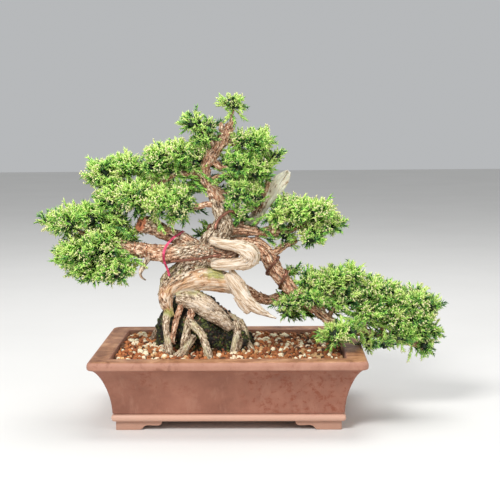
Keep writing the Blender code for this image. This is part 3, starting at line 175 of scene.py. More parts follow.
# Wood: each limb is a row of centre points with the radius there, x, y, z, r
LIMBS = {
    "arch": ((-64, -38, 118, 3.5), (-70, -36, 134, 7.5), (-67, -32, 147, 10), (-57, -30, 153, 11),
     (-43, -30, 157, 12), (-29, -30, 159, 13), (-13, -30, 157, 12.5), (1, -28, 153, 11), (10, -24, 147, 8)),
    "trunk": ((-74, -28, 139, 6), (-67, -24, 154, 10), (-53, -22, 165, 13), (-36, -20, 174, 15),
     (-24, -18, 187, 16), (-17, -16, 198, 15), (-9, -14, 209, 13), (-5, -13, 221, 10), (-9, -12, 234, 8.6),
     (-14, -11, 248, 7.4), (-20, -10, 259, 6.4), (-25, -10, 270, 5.7), (-26, -9, 281, 5.8),
     (-21, -9, 292, 6.1), (-13, -8, 302, 6.6), (-7, -8, 312, 6.6), (-1, -7, 321, 5.8), (2, -7, 328, 4.2),
     (4, -7, 337, 2), (6, -7, 346, 1.5)),
    "left_branch": ((-25, -20, 186, 14), (-38, -24, 188, 12), (-51, -27, 188, 10.5), (-64, -29, 188, 9.5),
     (-76, -30, 188, 9), (-88, -30, 190, 8.5), (-101, -29, 192, 7.5), (-114, -27, 195, 6),
     (-130, -25, 199, 4.5), (-147, -22, 205, 3.5), (-166, -20, 211, 2.5)),
    "left_fork": ((-39, -16, 192, 8), (-50, -15, 201, 7.5), (-63, -13, 205, 7.2), (-77, -14, 212, 8.2),
     (-90, -18, 218, 9.2), (-98, -25, 221, 9)),
    "loop": ((-18, -32, 202.5, 5), (-10, -36, 200, 5.6), (2, -40, 198, 6), (15, -41, 195, 8.5),
     (24, -40, 187, 11.5), (20, -40, 179, 8.5), (7, -41, 177, 6.8), (-5, -40, 176.5, 6.5),
     (-17, -35, 177.5, 5.6)),
    "great_jin": ((0, -32, 165, 8), (8, -38, 155, 9), (14, -42, 146, 9), (20, -46, 137, 8),
     (30, -49, 129, 6), (41, -51, 123, 3.8), (53, -53, 118, 1.6)),
    "great_jin_prong": ((12, -44, 142, 6), (17, -47, 132, 5.5), (23, -49, 124, 3)),
    "sail_jin": ((-8, -6, 192, 8), (4, 2, 199, 8.5), (19, 8, 211, 8.5), (31, 12, 225, 7.5),
     (40, 15, 240, 7.5), (50, 18, 253, 8), (58, 20, 264, 7.5), (64, 22, 272, 5), (67, 23, 276, 2.5)),
    "sail_splinter": ((28, 8, 228, 5), (36, 10, 244, 4), (42, 12, 258, 3.4), (47, 13, 271, 1.8)),
    "top_stub": ((-4, -7, 315, 4), (-7, -9, 325, 3.2), (-8, -10, 332, 2)),
    # A filler in the hollow behind the loop, painted dark as shade
    "heartwood": ((-20, -24, 190, 9), (-4, -27, 188, 8.5), (10, -30, 187, 7.5)),
    "stub_jin": ((8, -22, 200, 6), (20, -26, 204, 6), (32, -28, 208, 4.5), (42, -28, 206, 1.8)),
    "hook_jin": ((-88, -33, 186, 3.2), (-92, -38, 178, 2.6), (-97, -40, 170, 2.2), (-96, -41, 163, 1.8),
     (-91, -41, 159, 1.4)),
    "right_upper": ((-6, -10, 210, 7.5), (10, -8, 213, 6), (25, -8, 210, 5), (38, -8, 208, 4.5),
     (53, -9, 209, 4.2), (70, -10, 212, 3.8), (89, -12, 218, 3), (104, -14, 224, 2)),
    "right_branch": ((-4, -8, 191, 11), (17, -6, 193, 10), (32, -6, 192, 9), (42, -8, 184, 8.8),
     (48, -10, 173, 8.4), (55, -12, 162, 8.2), (63, -14, 152, 8), (71, -16, 142, 7.6), (82, -18, 134, 7),
     (92, -19, 127, 6.2), (102, -20, 118, 5.5), (113, -20, 109, 5), (126, -19, 102, 4.4), (142, -17, 97, 4),
     (161, -14, 93, 3.6), (181, -10, 87, 3), (202, -7, 81, 2.5), (221, -5, 73, 2)),
    "right_lower": ((3, -20, 150, 8), (18, -10, 142, 7), (31, -4, 134, 6.2), (43, 0, 130, 5.8),
     (56, 2, 131, 5), (70, 8, 127, 4.2), (84, 14, 122, 3.5), (100, 20, 118, 2.6)),
    "right_spur": ((41, -8, 182, 5.5), (52, -8, 186, 4.5), (63, -6, 193, 3.5), (75, -2, 199, 2.8)),
    "mid_left_twig": ((-14, -12, 239, 3.4), (-25, -14, 241, 2.8), (-36, -16, 239, 2.6), (-52, -18, 240, 2.6),
     (-70, -19, 242, 2.2), (-87, -20, 245, 2), (-106, -20, 248, 1.8)),
    "upper_left_twig": ((-22, -8, 276, 5), (-36, -4, 275, 4.5), (-48, -1, 274, 4), (-62, 2, 278, 3.4),
     (-78, 5, 281, 2.8), (-94, 8, 281, 2.2), (-113, 8, 277, 2), (-131, 6, 272, 1.8)),
    "second_left_twig": ((-57, 0, 277, 3), (-71, -4, 268, 2.6), (-86, -8, 261, 2.2), (-104, -9, 262, 2),
     (-122, -9, 265, 1.8)),
    "top_left_twig": ((-13, -8, 302, 4), (-19, -10, 312, 3.2), (-27, -12, 322, 2.5), (-34, -13, 329, 1.8)),
    "apex_right_twig": ((-6, -6, 311, 5), (6, -3, 309, 4), (20, 0, 307, 3), (33, 2, 303, 2.4),
     (44, 2, 294, 1.8)),
    "mid_right_twig": ((-19, -8, 290, 4), (-7, -6, 281, 3), (5, -3, 281, 2.4), (17, 0, 276, 2),
     (31, 3, 269, 1.8)),
    "low_right_twig": ((-13, -10, 254, 5), (0, -6, 252, 3.5), (12, -3, 247, 2.8), (26, 0, 240, 2.2)),
    "back_left_twig": ((-17, -8, 257, 5), (-30, 14, 262, 4), (-50, 36, 258, 3), (-70, 54, 250, 2.4),
     (-90, 57, 254, 2)),
    "back_right_twig": ((-18, -8, 266, 5), (-6, 16, 270, 4), (10, 38, 272, 3), (26, 54, 266, 2.4),
     (36, 58, 250, 2)),
    "back_low_twig": ((36, -8, 208, 4), (50, 14, 213, 3), (66, 36, 222, 2.4), (90, 47, 220, 2)),
    "back_high_twig": ((-20, -8, 290, 4), (-25, 14, 296, 3), (-29, 36, 299, 2.2)),
    "crown": ((-58, -30, 141, 9), (-48, -31, 139, 11.5), (-36, -32, 134, 12), (-23, -33, 125, 11.5),
     (-11, -33, 116, 9), (-3, -34, 109, 7), (2, -34, 103, 4.5)),
    "crown_back": ((-56, -16, 131, 10), (-40, -12, 120, 13), (-21, -8, 111, 13), (-2, -8, 106, 10),
     (10, -10, 103, 7.5)),
    "root_left": ((-68, -38, 121, 4.6), (-70, -42, 111, 4.2), (-69, -45, 98, 4), (-67, -47, 86, 4),
     (-65, -48, 74, 4), (-64, -48, 64, 3)),
    "root_fork_right": ((-45, -40, 114, 5), (-38, -46, 109, 4.8), (-30, -54, 102, 4.6), (-26, -60, 92, 4.6),
     (-21, -65, 78, 4.6), (-19, -66, 66, 3.6)),
    "root_fork_left": ((-44, -40, 112, 5), (-47, -46, 100, 4.2), (-49, -50, 91, 3.8), (-48, -50, 76, 3.8),
     (-47, -49, 65, 3)),
    "root_cross": ((-40, -42, 97, 4.6), (-45, -49, 88, 4.6), (-51, -54, 81, 4.6), (-58, -56, 73, 4.4),
     (-62, -56, 66, 3.2)),
    "root_right": ((9, -14, 108, 6.5), (15, -18, 98, 5.5), (18, -22, 87, 5), (24, -26, 76, 5),
     (28, -28, 65, 3.6)),
    "root_right_front": ((6, -24, 109, 5), (9, -32, 98, 4), (7, -40, 90, 4), (5, -44, 77, 4),
     (4, -45, 66, 3)),
    "root_right_cross": ((14, -26, 91, 4.4), (9, -37, 83, 4.4), (4, -45, 75, 4.2), (0, -49, 67, 3)),
    "root_red_left": ((-53, -33, 131, 4), (-58, -38, 116, 3), (-61, -42, 104, 3), (-63, -43, 90, 3)),
    "root_red_mid": ((-41, -35, 127, 4), (-44, -41, 113, 4)),
    "root_back_left": ((-58, -8, 127, 8), (-72, 10, 110, 6), (-84, 26, 92, 5), (-92, 36, 79, 4.5),
     (-97, 41, 66, 3.4)),
    "root_back_mid": ((-35, 4, 115, 9), (-40, 24, 98, 6), (-44, 38, 83, 5), (-47, 46, 67, 3.6)),
    "root_back_right": ((-5, 2, 109, 8), (6, 20, 98, 5.5), (16, 32, 86, 4.5), (24, 40, 68, 3.2)),
}

# Foliage pads: each clump is a centre and the three radii it reaches, x, y, z, rx, ry, rz
PADS = {
    "pad_left_low": ((-180, -22, 222, 21, 27, 15), (-154, -14, 227, 22, 30, 14),
     (-169, -26, 189, 23, 32, 18), (-140, -18, 196, 24, 35, 20), (-116, -8, 202, 14, 24, 16),
     (-124, -30, 169, 21, 27, 15), (-156, -20, 168, 22, 26, 14), (-203, -22, 224, 8, 8, 4),
     (-128, -4, 218, 16, 26, 13)),
    "pad_left_mid": ((-128, -22, 246, 19, 30, 14), (-103, -20, 249, 21, 32, 17), (-76, -22, 244, 19, 30, 18),
     (-53, -20, 240, 18, 25, 19)),
    "pad_left_high": ((-140, -4, 275, 19, 28, 17), (-113, 4, 282, 17, 27, 14), (-126, -8, 263, 16, 22, 8)),
    "pad_upper_left": ((-77, 4, 292, 18, 30, 14), (-54, 2, 296, 18, 30, 15), (-37, 0, 290, 13, 24, 16),
     (-65, 6, 276, 18, 22, 10), (-89, 0, 280, 12, 22, 10)),
    "pad_top_left": ((-38, -14, 332, 14, 19, 12), (-21, -12, 327, 13, 18, 10), (-25, -14, 315, 14, 18, 9)),
    "pad_apex": ((4, -7, 354, 17, 15, 8), (9, -7, 349, 9, 11, 6)),
    "pad_right_high": ((17, -2, 311, 16, 22, 11), (35, 0, 307, 15, 24, 16), (14, -4, 285, 17, 22, 13),
     (33, 2, 277, 17, 24, 16), (53, 2, 293, 10, 12, 9), (12, -8, 255, 15, 22, 16), (30, 2, 246, 15, 22, 17),
     (15, -6, 226, 14, 18, 11)),
    "pad_right_mid": ((54, -14, 230, 15, 24, 16), (76, -12, 231, 18, 30, 17), (100, -14, 230, 18, 30, 17),
     (115, -14, 218, 12, 20, 12), (93, -16, 205, 16, 22, 13), (62, -6, 206, 12, 18, 11)),
    "pad_cascade_upper": ((72, 6, 162, 10, 12, 9), (91, -6, 149, 16, 24, 16), (116, -8, 152, 19, 30, 17),
     (137, -10, 157, 11, 22, 15), (97, -26, 133, 20, 18, 9), (128, -8, 134, 19, 26, 14),
     (65, -24, 130, 15, 16, 7)),
    "pad_cascade_far": ((160, -10, 142, 17, 27, 14), (184, -8, 135, 18, 27, 15), (210, -6, 130, 16, 22, 14),
     (229, -4, 124, 11, 17, 15), (156, -14, 118, 20, 27, 13), (186, -10, 111, 20, 30, 16),
     (213, -6, 106, 18, 24, 16), (221, -4, 80, 12, 17, 17), (193, -12, 90, 18, 22, 11),
     (231, -2, 96, 10, 16, 10)),
    "pad_cascade_front": ((119, -46, 98, 19, 22, 14), (136, -40, 101, 11, 16, 10)),
    "pad_cascade_tail": ((157, -16, 82, 9, 12, 12), (174, -28, 84, 9, 12, 9)),
    "pad_low_back": ((68, 16, 112, 16, 19, 10), (87, 24, 114, 12, 16, 10)),
    "pad_trunk_tuft": ((-30, 4, 205, 8, 9, 7),),
    "pad_back_left": ((-93, 56, 255, 20, 27, 17), (-68, 60, 249, 17, 24, 14)),
    "pad_back_right": ((23, 56, 269, 18, 24, 18), (37, 58, 245, 14, 22, 13)),
    "pad_back_low": ((70, 46, 230, 16, 22, 14), (92, 48, 221, 17, 24, 14)),
    "pad_back_high": ((-29, 44, 300, 15, 22, 15),),
}

# The limbs that carry foliage, from which a clump's own twig grows
CARRIERS = ("trunk", "left_branch", "right_upper", "right_branch", "right_lower", "right_spur")
CARRIERS += tuple(name for name in LIMBS if name.endswith("_twig"))

# Loose sprays past a pad or by the trunk: from x, y, z to x, y, z, how many sprigs, how bright; a low brightness
# paints the shade on sprays behind the trunk
SPRAYS = {
    "pad_left_high": ((-111, -6, 250, -78, -6, 246, 8, 0.35), (-149, -10, 251, -118, -10, 246, 8, 0.4)),
    "pad_left_low": ((-199, -22, 223, -213, -24, 225, 4, 0.95), (-184, -25, 178, -194, -28, 190, 5, 0.8),
     (-129, -35, 170, -129, -38, 152, 5, 0.35), (-149, -30, 164, -164, -30, 154, 4, 0.4),
     (-115, -36, 179, -107, -38, 163, 5, 0.4), (-106, -38, 184, -90, -40, 172, 7, 0.6),
     (-122, -34, 217, -104, -36, 207, 7, 0.35), (-135, -32, 232, -114, -34, 225, 7, 0.55),
     (-176, -24, 231, -180, -26, 244, 4, 0.85), (-145, -34, 179, -145, -36, 159, 5, 0.45),
     (-128, -38, 193, -106, -40, 191, 9, 0.5), (-124, -38, 184, -104, -40, 180, 8, 0.45),
     (-133, -34, 199, -115, -38, 197, 8, 0.6), (-129, 2, 204, -100, 4, 199, 12, 0.12),
     (-124, 0, 211, -91, 2, 209, 10, 0.2), (-138, -30, 220, -122, -34, 212, 6, 0.6),
     (-115, -2, 193, -91, 0, 195, 8, 0.1)),
    "pad_left_mid": ((-49, 6, 235, -27, 8, 233, 8, 0.15), (-91, 8, 238, -54, 10, 237, 10, 0.2),
     (-89, -10, 221, -66, -12, 210, 6, 0.2), (-70, -32, 231, -50, -34, 223, 5, 0.45),
     (-64, -30, 223, -60, -30, 211, 4, 0.4), (-77, -32, 228, -73, -32, 210, 4, 0.35),
     (-142, -26, 252, -147, -28, 259, 4, 0.85), (-87, -24, 234, -76, -26, 218, 6, 0.4),
     (-58, -22, 240, -40, -24, 231, 6, 0.5), (-52, -14, 250, -32, -16, 243, 7, 0.45)),
    "pad_upper_left": ((-28, -20, 275, -12, -22, 262, 6, 0.4), (-36, -16, 264, -23, -18, 250, 5, 0.25),
     (-34, -4, 281, -28, -6, 265, 5, 0.4), (-45, 12, 269, -20, 14, 267, 9, 0.15),
     (-49, 10, 256, -24, 12, 253, 9, 0.15), (-46, 10, 305, -24, 10, 310, 8, 0.3),
     (-79, 6, 249, -45, 8, 247, 8, 0.2), (-50, -4, 288, -26, -8, 292, 7, 0.6),
     (-55, -4, 272, -31, -8, 269, 8, 0.5), (-48, -4, 261, -29, -10, 254, 5, 0.35),
     (-58, -2, 254, -49, -2, 238, 5, 0.3), (-86, 0, 293, -88, 0, 307, 4, 0.9),
     (-66, 0, 281, -48, -4, 272, 6, 0.4), (-43, -4, 301, -27, -8, 305, 6, 0.6),
     (-45, -8, 279, -23, -12, 281, 7, 0.5), (-41, 0, 292, -26, 2, 290, 8, 0.35),
     (-46, 2, 265, -28, 4, 263, 9, 0.25), (-51, -4, 245, -35, -8, 236, 6, 0.4),
     (-64, -4, 263, -43, -8, 257, 7, 0.45)),
    "pad_top_left": ((-42, -14, 326, -51, -14, 334, 4, 0.9), (-34, -14, 332, -27, -14, 344, 4, 0.9),
     (-25, -10, 319, -8, -12, 312, 5, 0.55), (-27, -10, 312, -18, -10, 301, 4, 0.45),
     (-31, -10, 326, -18, -12, 330, 5, 0.7), (-36, -12, 315, -25, -14, 301, 6, 0.5)),
    "pad_right_high": ((-5, -18, 273, -18, -20, 262, 4, 0.35), (-1, -14, 250, -5, -14, 232, 5, 0.3),
     (13, -10, 301, 0, -12, 290, 4, 0.5), (-16, -2, 299, -1, -4, 294, 5, 0.45),
     (-19, -4, 283, -7, -6, 276, 5, 0.35), (-20, 14, 271, 12, 16, 271, 12, 0.15),
     (-18, 12, 257, 10, 14, 253, 10, 0.15), (-13, 10, 244, 12, 12, 239, 8, 0.2),
     (-15, 10, 287, 8, 12, 291, 8, 0.2), (-2, -12, 290, 16, -10, 300, 6, 0.4),
     (-5, -14, 279, 17, -10, 276, 6, 0.35), (0, -14, 266, 14, -12, 257, 6, 0.4),
     (-1, -16, 250, 19, -14, 239, 7, 0.35), (6, -14, 232, 32, -12, 238, 7, 0.35),
     (-5, -18, 239, 10, -16, 221, 4, 0.3), (40, -2, 312, 32, -2, 324, 4, 0.9),
     (44, -2, 283, 60, -2, 294, 6, 0.9), (13, -6, 301, 31, -6, 290, 5, 0.5),
     (24, -10, 240, 44, -8, 247, 5, 0.5), (-7, -4, 283, 13, -2, 287, 8, 0.3),
     (-10, -2, 270, 15, 0, 267, 9, 0.3), (-12, -6, 256, 10, -6, 247, 8, 0.35),
     (-3, -8, 301, 13, -8, 305, 5, 0.6), (-7, -14, 246, 8, -14, 232, 6, 0.4),
     (8, -16, 221, 28, -14, 227, 6, 0.4), (13, -12, 250, 24, -12, 261, 6, 0.5)),
    "pad_right_mid": ((12, 0, 215, 37, 2, 210, 8, 0.2), (37, -10, 204, 57, -10, 193, 6, 0.3),
     (30, -18, 221, 48, -16, 233, 6, 0.45), (35, -18, 214, 54, -18, 204, 6, 0.35),
     (53, -16, 232, 69, -14, 241, 4, 0.7), (80, -12, 236, 89, -12, 249, 4, 0.85)),
    "pad_apex": ((6, -7, 352, -12, -7, 359, 4, 0.9), (6, -7, 352, 3, -7, 362, 3, 0.95),
     (8, -7, 350, 20, -7, 346, 4, 0.85), (3, -7, 343, -3, -8, 329, 4, 0.6), (6, -7, 336, 7, -7, 322, 4, 0.5),
     (-2, -8, 352, -10, -8, 349, 3, 0.8), (11, -7, 343, 18, -7, 336, 3, 0.7)),
    "pad_cascade_upper": ((102, -20, 135, 130, -22, 120, 12, 0.45), (68, -4, 153, 93, -6, 144, 8, 0.5),
     (109, -8, 122, 129, -8, 110, 8, 0.2), (80, -8, 143, 113, -8, 135, 8, 0.35),
     (61, -28, 134, 51, -32, 127, 6, 0.45), (68, -30, 135, 79, -30, 148, 8, 0.4),
     (75, -30, 128, 87, -32, 112, 7, 0.4), (77, -28, 139, 98, -30, 134, 9, 0.4),
     (97, -28, 134, 116, -30, 127, 9, 0.45), (134, -8, 161, 143, -8, 175, 5, 0.85),
     (113, -26, 134, 130, -28, 119, 7, 0.5), (71, 0, 159, 63, 0, 167, 5, 0.4),
     (86, -10, 152, 104, -10, 163, 5, 0.6), (61, -12, 148, 80, -10, 154, 8, 0.45),
     (57, -10, 141, 75, -12, 141, 7, 0.35), (117, -24, 129, 137, -26, 120, 8, 0.55),
     (66, -26, 123, 61, -28, 112, 5, 0.3)),
    "pad_cascade_far": ((144, 0, 111, 185, 2, 94, 14, 0.25), (152, -14, 107, 174, -14, 93, 8, 0.45),
     (131, -16, 118, 153, -18, 107, 8, 0.4), (159, -8, 146, 166, -8, 159, 4, 0.9),
     (177, -6, 144, 185, -6, 153, 4, 0.8), (211, -6, 130, 225, -6, 145, 6, 0.95),
     (227, -4, 97, 241, -4, 86, 5, 0.8), (223, -4, 116, 239, -4, 127, 5, 0.75),
     (207, -8, 79, 205, -8, 59, 4, 0.7), (213, -8, 77, 222, -8, 58, 4, 0.7),
     (160, -24, 99, 158, -24, 75, 7, 0.75), (174, -24, 97, 181, -24, 76, 7, 0.75),
     (128, -30, 114, 148, -30, 106, 7, 0.6), (192, -16, 98, 194, -18, 82, 5, 0.6),
     (137, -22, 108, 160, -24, 99, 9, 0.6), (160, -24, 108, 187, -24, 99, 9, 0.65),
     (187, -20, 108, 209, -20, 94, 8, 0.6), (146, -26, 97, 150, -28, 84, 6, 0.7),
     (190, -18, 89, 196, -18, 75, 6, 0.6), (215, -10, 92, 231, -10, 78, 7, 0.75)),
    "pad_cascade_front": ((107, -46, 102, 97, -48, 104, 5, 0.95), (117, -50, 98, 112, -50, 84, 5, 0.6),
     (131, -46, 108, 145, -44, 118, 5, 0.6), (128, -48, 97, 135, -46, 88, 4, 0.6)),
    "pad_trunk_tuft": ((-20, 0, 213, -33, 0, 221, 5, 0.5), (-18, 2, 210, -29, 2, 207, 4, 0.4)),
}

# Places kept clear of foliage in front of y: x, y, z, radius
CLEARINGS = (
    (20, 12, 217, 5), (27, 12, 223, 6), (34, 12, 231, 7), (40, 14, 240, 8), (46, 16, 250, 8),
    (52, 18, 260, 9), (59, 20, 270, 9), (-7, -8, 317, 5), (-15, -8, 306, 5), (-24, -10, 290, 5),
    (-25, -12, 277, 4)
)

# The wire's turn round the trunk
RING_ROUTE = (
    (-15, -25, 213), (-14, -26, 219), (-10, -26, 226), (-4, -26, 231), (2, -23, 234), (6, -16, 232),
    (5, -7, 227), (-4, 0, 222), (-13, -2, 218), (-19, -9, 214), (-20, -18, 212),
)

# How each limb is surfaced: its relief, and how dead, how red and how green it is, from 0 to 1
SURFACES = {
    "arch": ("dead", 0.8, 0.5, 0.2),
    "trunk": ("bark", 0.3, 0.1, 0.05),
    "left_branch": ("bark", 0.35, 0.55, 0.0),
    "left_fork": ("bark", 0.35, 0.5, 0.0),
    "right_branch": ("string", 0.3, 0.65, 0.0),
    "right_spur": ("string", 0.3, 0.6, 0.0),
    "loop": ("dead", 1.0, 0.0, 0.0),
    "great_jin": ("dead", 1.0, 0.0, 0.0),
    "great_jin_prong": ("dead", 1.0, 0.0, 0.0),
    "sail_jin": ("dead", 1.0, 0.0, 0.0),
    "sail_splinter": ("string", 0.25, 0.6, 0.0),
    "top_stub": ("string", 0.3, 0.6, 0.0),
    "heartwood": ("string", 0.1, 0.6, 0.0),
    "stub_jin": ("dead", 0.9, 0.1, 0.0),
    "hook_jin": ("string", 0.45, 0.3, 0.0),
    "crown": ("root", 0.5, 0.1, 0.15),
    "crown_back": ("root", 0.5, 0.05, 0.3),
    "root": ("root", 0.45, 0.05, 0.3),
    "root_red": ("string", 0.1, 0.9, 0.05),
    "twig": ("string", 0.12, 0.75, 0.0),
}


# Materials

class Finish:
    """A material with its shader, and short ways to add the nodes that drive it."""

    def __init__(self, name, **sockets):
        self.material = bpy.data.materials.new(name)
        self.material.use_nodes = True
        self.tree = self.material.node_tree
        self.shader = self.tree.nodes["Principled BSDF"]
        for socket, value in sockets.items():
            self.shader.inputs[socket.replace("_", " ")].default_value = value

    def node(self, kind, inputs, **settings):
        made = self.tree.nodes.new("ShaderNode" + kind)
        for name, value in settings.items():
            setattr(made, name, value)
        for socket, value in inputs.items():
            if isinstance(value, bpy.types.NodeSocket):
                self.tree.links.new(value, made.inputs[socket])
            else:
                made.inputs[socket].default_value = value
        return made

    def place(self):
        """Object coordinates, in metres."""
        return self.node("TexCoord", {}).outputs["Object"]

    def attribute(self, name):
        return self.node("Attribute", {}, attribute_name=name)

    def noise(self, where, scale, detail=4.0, rough=0.6, distortion=0.0):
        made = self.node("TexNoise", {"Vector": where, "Scale": scale, "Detail": detail})
        made.inputs["Roughness"].default_value = rough
        made.inputs["Distortion"].default_value = distortion
        return made.outputs["Fac"]

    def stretched(self, where, scale):
        return self.node("Mapping", {"Vector": where, "Scale": scale}).outputs["Vector"]

    def plus(self, first, second):
        return self.node("Math", {0: first, 1: second}, operation="ADD").outputs[0]

    def times(self, first, second):
        return self.node("Math", {0: first, 1: second}, operation="MULTIPLY").outputs[0]

    def span(self, value, low, high, to_low=0.0, to_high=1.0):
        inputs = {"Value": value, "From Min": low, "From Max": high, "To Min": to_low, "To Max": to_high}
        return self.node("MapRange", inputs).outputs["Result"]

    def ramp(self, value, *stops):
        """Colours at places from 0 to 1: each stop is a place and a colour."""
        made = self.node("ValToRGB", {"Fac": value})
        band = made.color_ramp
        while len(band.elements) < len(stops):
            band.elements.new(0.5)
        for element, (place, colour) in zip(band.elements, stops):
            element.position = place
            element.color = (*colour, 1.0)
        return made.outputs["Color"]

    def mix(self, share, first, second):
        made = self.node("Mix", {}, data_type="RGBA")
        for socket, value in ((made.inputs[0], share), (made.inputs[6], first), (made.inputs[7], second)):
            if isinstance(value, bpy.types.NodeSocket):
                self.tree.links.new(value, socket)
            else:
                socket.default_value = value if isinstance(value, float) else (*value, 1.0)
        return made.outputs[2]

    def parts(self, colour):
        made = self.node("SeparateColor", {"Color": colour})
        return made.outputs[0], made.outputs[1], made.outputs[2]

    def drive(self, socket, value):
        self.tree.links.new(value, self.shader.inputs[socket])

    def colour(self, value):
        self.drive("Base Color", value)

    def bump(self, height, depth, strength=1.0):
        """Relief of this depth in metres."""
        made = self.node("Bump", {"Height": height, "Distance": depth, "Strength": strength})
        self.drive("Normal", made.outputs["Normal"])


def clay_finish():
    """Unglazed brown clay: a damp rim, a paler bead and foot band, and water stains down the wall."""
    clay = Finish("Unglazed brown clay", Roughness=0.62)
    where = clay.place()
    height = clay.node("SeparateXYZ", {"Vector": where}).outputs["Z"]
    cloud = clay.noise(where, 22.0, 5.0, 0.65)
    speck = clay.noise(where, 900.0, 3.0, 0.7)
    drips = clay.noise(clay.stretched(where, (1.0, 1.0, 0.25)), 55.0, 6.0, 0.7, 0.4)
    smear = clay.noise(where, 48.0, 7.0, 0.65, 0.4)
    blotch = clay.noise(where, 150.0, 5.0, 0.7, 0.4)
    rightwards = clay.span(clay.node("SeparateXYZ", {"Vector": where}).outputs["X"], -0.05, 0.06, 0.0, 0.12)
    place = clay.plus(clay.noise(where, 14.0, 2.0, 0.5), rightwards)
    body = clay.ramp(
        cloud, (0.3, (0.225, 0.083, 0.049)), (0.52, (0.305, 0.121, 0.075)), (0.75, (0.395, 0.172, 0.113)),
    )
    stain = clay.times(clay.span(blotch, 0.5, 0.63, 0.0, 0.8), clay.span(place, 0.56, 0.68))
    stained = clay.mix(stain, body, (0.23, 0.055, 0.022))
    bloom = clay.mix(clay.span(drips, 0.46, 0.34, 0.0, 0.22), stained, (0.5, 0.27, 0.19))
    band = clay.mix(clay.span(height, 0.0195, 0.0165, 0.0, 0.75), bloom, (0.74, 0.46, 0.34))
    foot = clay.mix(clay.span(height, 0.011, 0.009, 0.0, 0.7), band, (0.42, 0.22, 0.15))
    worn = clay.ramp(
        smear, (0.34, (0.27, 0.115, 0.07)), (0.43, (0.43, 0.21, 0.14)), (0.7, (0.53, 0.285, 0.2)),
    )
    bead = clay.mix(clay.span(height, 0.0705, 0.0725, 0.0, 0.75), foot, worn)
    damp = clay.span(height, 0.0795, 0.0801)
    land = clay.ramp(
        smear, (0.34, (0.18, 0.06, 0.022)), (0.5, (0.39, 0.17, 0.08)), (0.68, (0.62, 0.33, 0.18)),
    )
    tinted = clay.mix(damp, bead, land)
    clay.colour(clay.mix(clay.span(speck, 0.62, 0.75, 0.0, 0.4), tinted, (0.1, 0.04, 0.025)))
    clay.drive("Roughness", clay.plus(clay.span(cloud, 0.3, 0.7, 0.5, 0.72), clay.times(damp, -0.12)))
    clay.bump(clay.plus(clay.times(speck, 0.5), cloud), 0.0006, 0.5)
    return clay.material


def wood_finish():
    """Flaky grey bark, red stringy bark and bleached deadwood, told apart by what the wood carries."""
    wood = Finish("Bark and deadwood", Roughness=0.85)
    grain = wood.attribute("grain").outputs["Vector"]
    wear_and_shade = wood.attribute("wear_and_shade")
    dead, red, green = wood.parts(wear_and_shade.outputs["Color"])
    # The alpha of this attribute is painted shade for the cracks and hollows
    crevice_shade = wear_and_shade.outputs["Alpha"]
    # This attribute marks the sawn end from 0 to 1, and the sail with -1 for its painted light
    cut = wood.attribute("cut").outputs["Fac"]
    where = wood.place()
    streak = wood.noise(wood.stretched(grain, (0.55, 0.55, 0.05)), 1.0, 7.0, 0.65)
    fleck = wood.noise(wood.stretched(grain, (0.5, 0.5, 0.22)), 1.0, 6.0, 0.7)
    patch = wood.noise(where, 70.0, 4.0, 0.6)
    fine = wood.noise(wood.stretched(grain, (2.4, 2.4, 0.14)), 1.0, 5.0, 0.7)
    bark = wood.ramp(
        fleck, (0.36, (0.03, 0.015, 0.007)), (0.44, (0.17, 0.1, 0.052)), (0.51, (0.47, 0.33, 0.21)),
        (0.6, (0.95, 0.84, 0.66)),
    )
    strings = wood.ramp(
        fleck, (0.36, (0.055, 0.018, 0.008)), (0.43, (0.31, 0.125, 0.06)), (0.51, (0.68, 0.37, 0.215)),
        (0.61, (1.0, 0.8, 0.6)),
    )
    tan = wood.ramp(
        streak, (0.35, (0.16, 0.065, 0.025)), (0.44, (0.42, 0.2, 0.09)), (0.52, (0.66, 0.38, 0.19)),
        (0.64, (0.85, 0.66, 0.44)),
    )
    bleached = wood.ramp(
        streak, (0.33, (0.27, 0.15, 0.075)), (0.42, (0.55, 0.38, 0.24)), (0.5, (0.77, 0.62, 0.46)),
        (0.62, (0.87, 0.79, 0.68)),
    )
    ragged = wood.times(wood.plus(patch, -0.5), 1.1)
    is_red = wood.span(wood.plus(red, ragged), 0.32, 0.58)
    is_dead = wood.span(wood.plus(dead, ragged), 0.42, 0.62)
    is_green = wood.span(wood.plus(green, wood.times(ragged, 0.9)), 0.28, 0.55)
    lines = wood.mix(is_dead, wood.mix(is_red, bark, strings), wood.mix(is_red, bleached, tan))
    algae = wood.ramp(
        fleck, (0.36, (0.06, 0.08, 0.012)), (0.5, (0.33, 0.36, 0.07)), (0.66, (0.66, 0.63, 0.25)),
    )
    mossy = wood.mix(wood.times(is_green, 0.8), lines, algae)
    sawn = wood.mix(cut, mossy, wood.ramp(patch, (0.35, (0.42, 0.1, 0.04)), (0.6, (0.65, 0.24, 0.12))))
    # Partly painted light: the sail is bleached deadwood, painted whiter still to make up for its face turned from
    # the key light
    sail_white_and_light = wood.ramp(
        streak, (0.34, (0.5, 0.36, 0.22)), (0.43, (0.95, 0.84, 0.66)), (0.55, (1.0, 0.95, 0.8)),
    )
    with_sail_light = wood.mix(wood.span(cut, -0.1, -1.0), sawn, sail_white_and_light)
    shade = wood.mix(wood.span(fine, 0.45, 0.3, 0.0, 0.3), with_sail_light, (0.13, 0.075, 0.04))
    # Painted shade: the wood is darkened towards near black in its cracks and hollows
    wood.colour(wood.mix(wood.times(crevice_shade, 0.8), shade, (0.04, 0.02, 0.012)))
    wood.bump(wood.plus(wood.times(fine, 0.6), fleck), 0.0009, 0.7)
    return wood.material


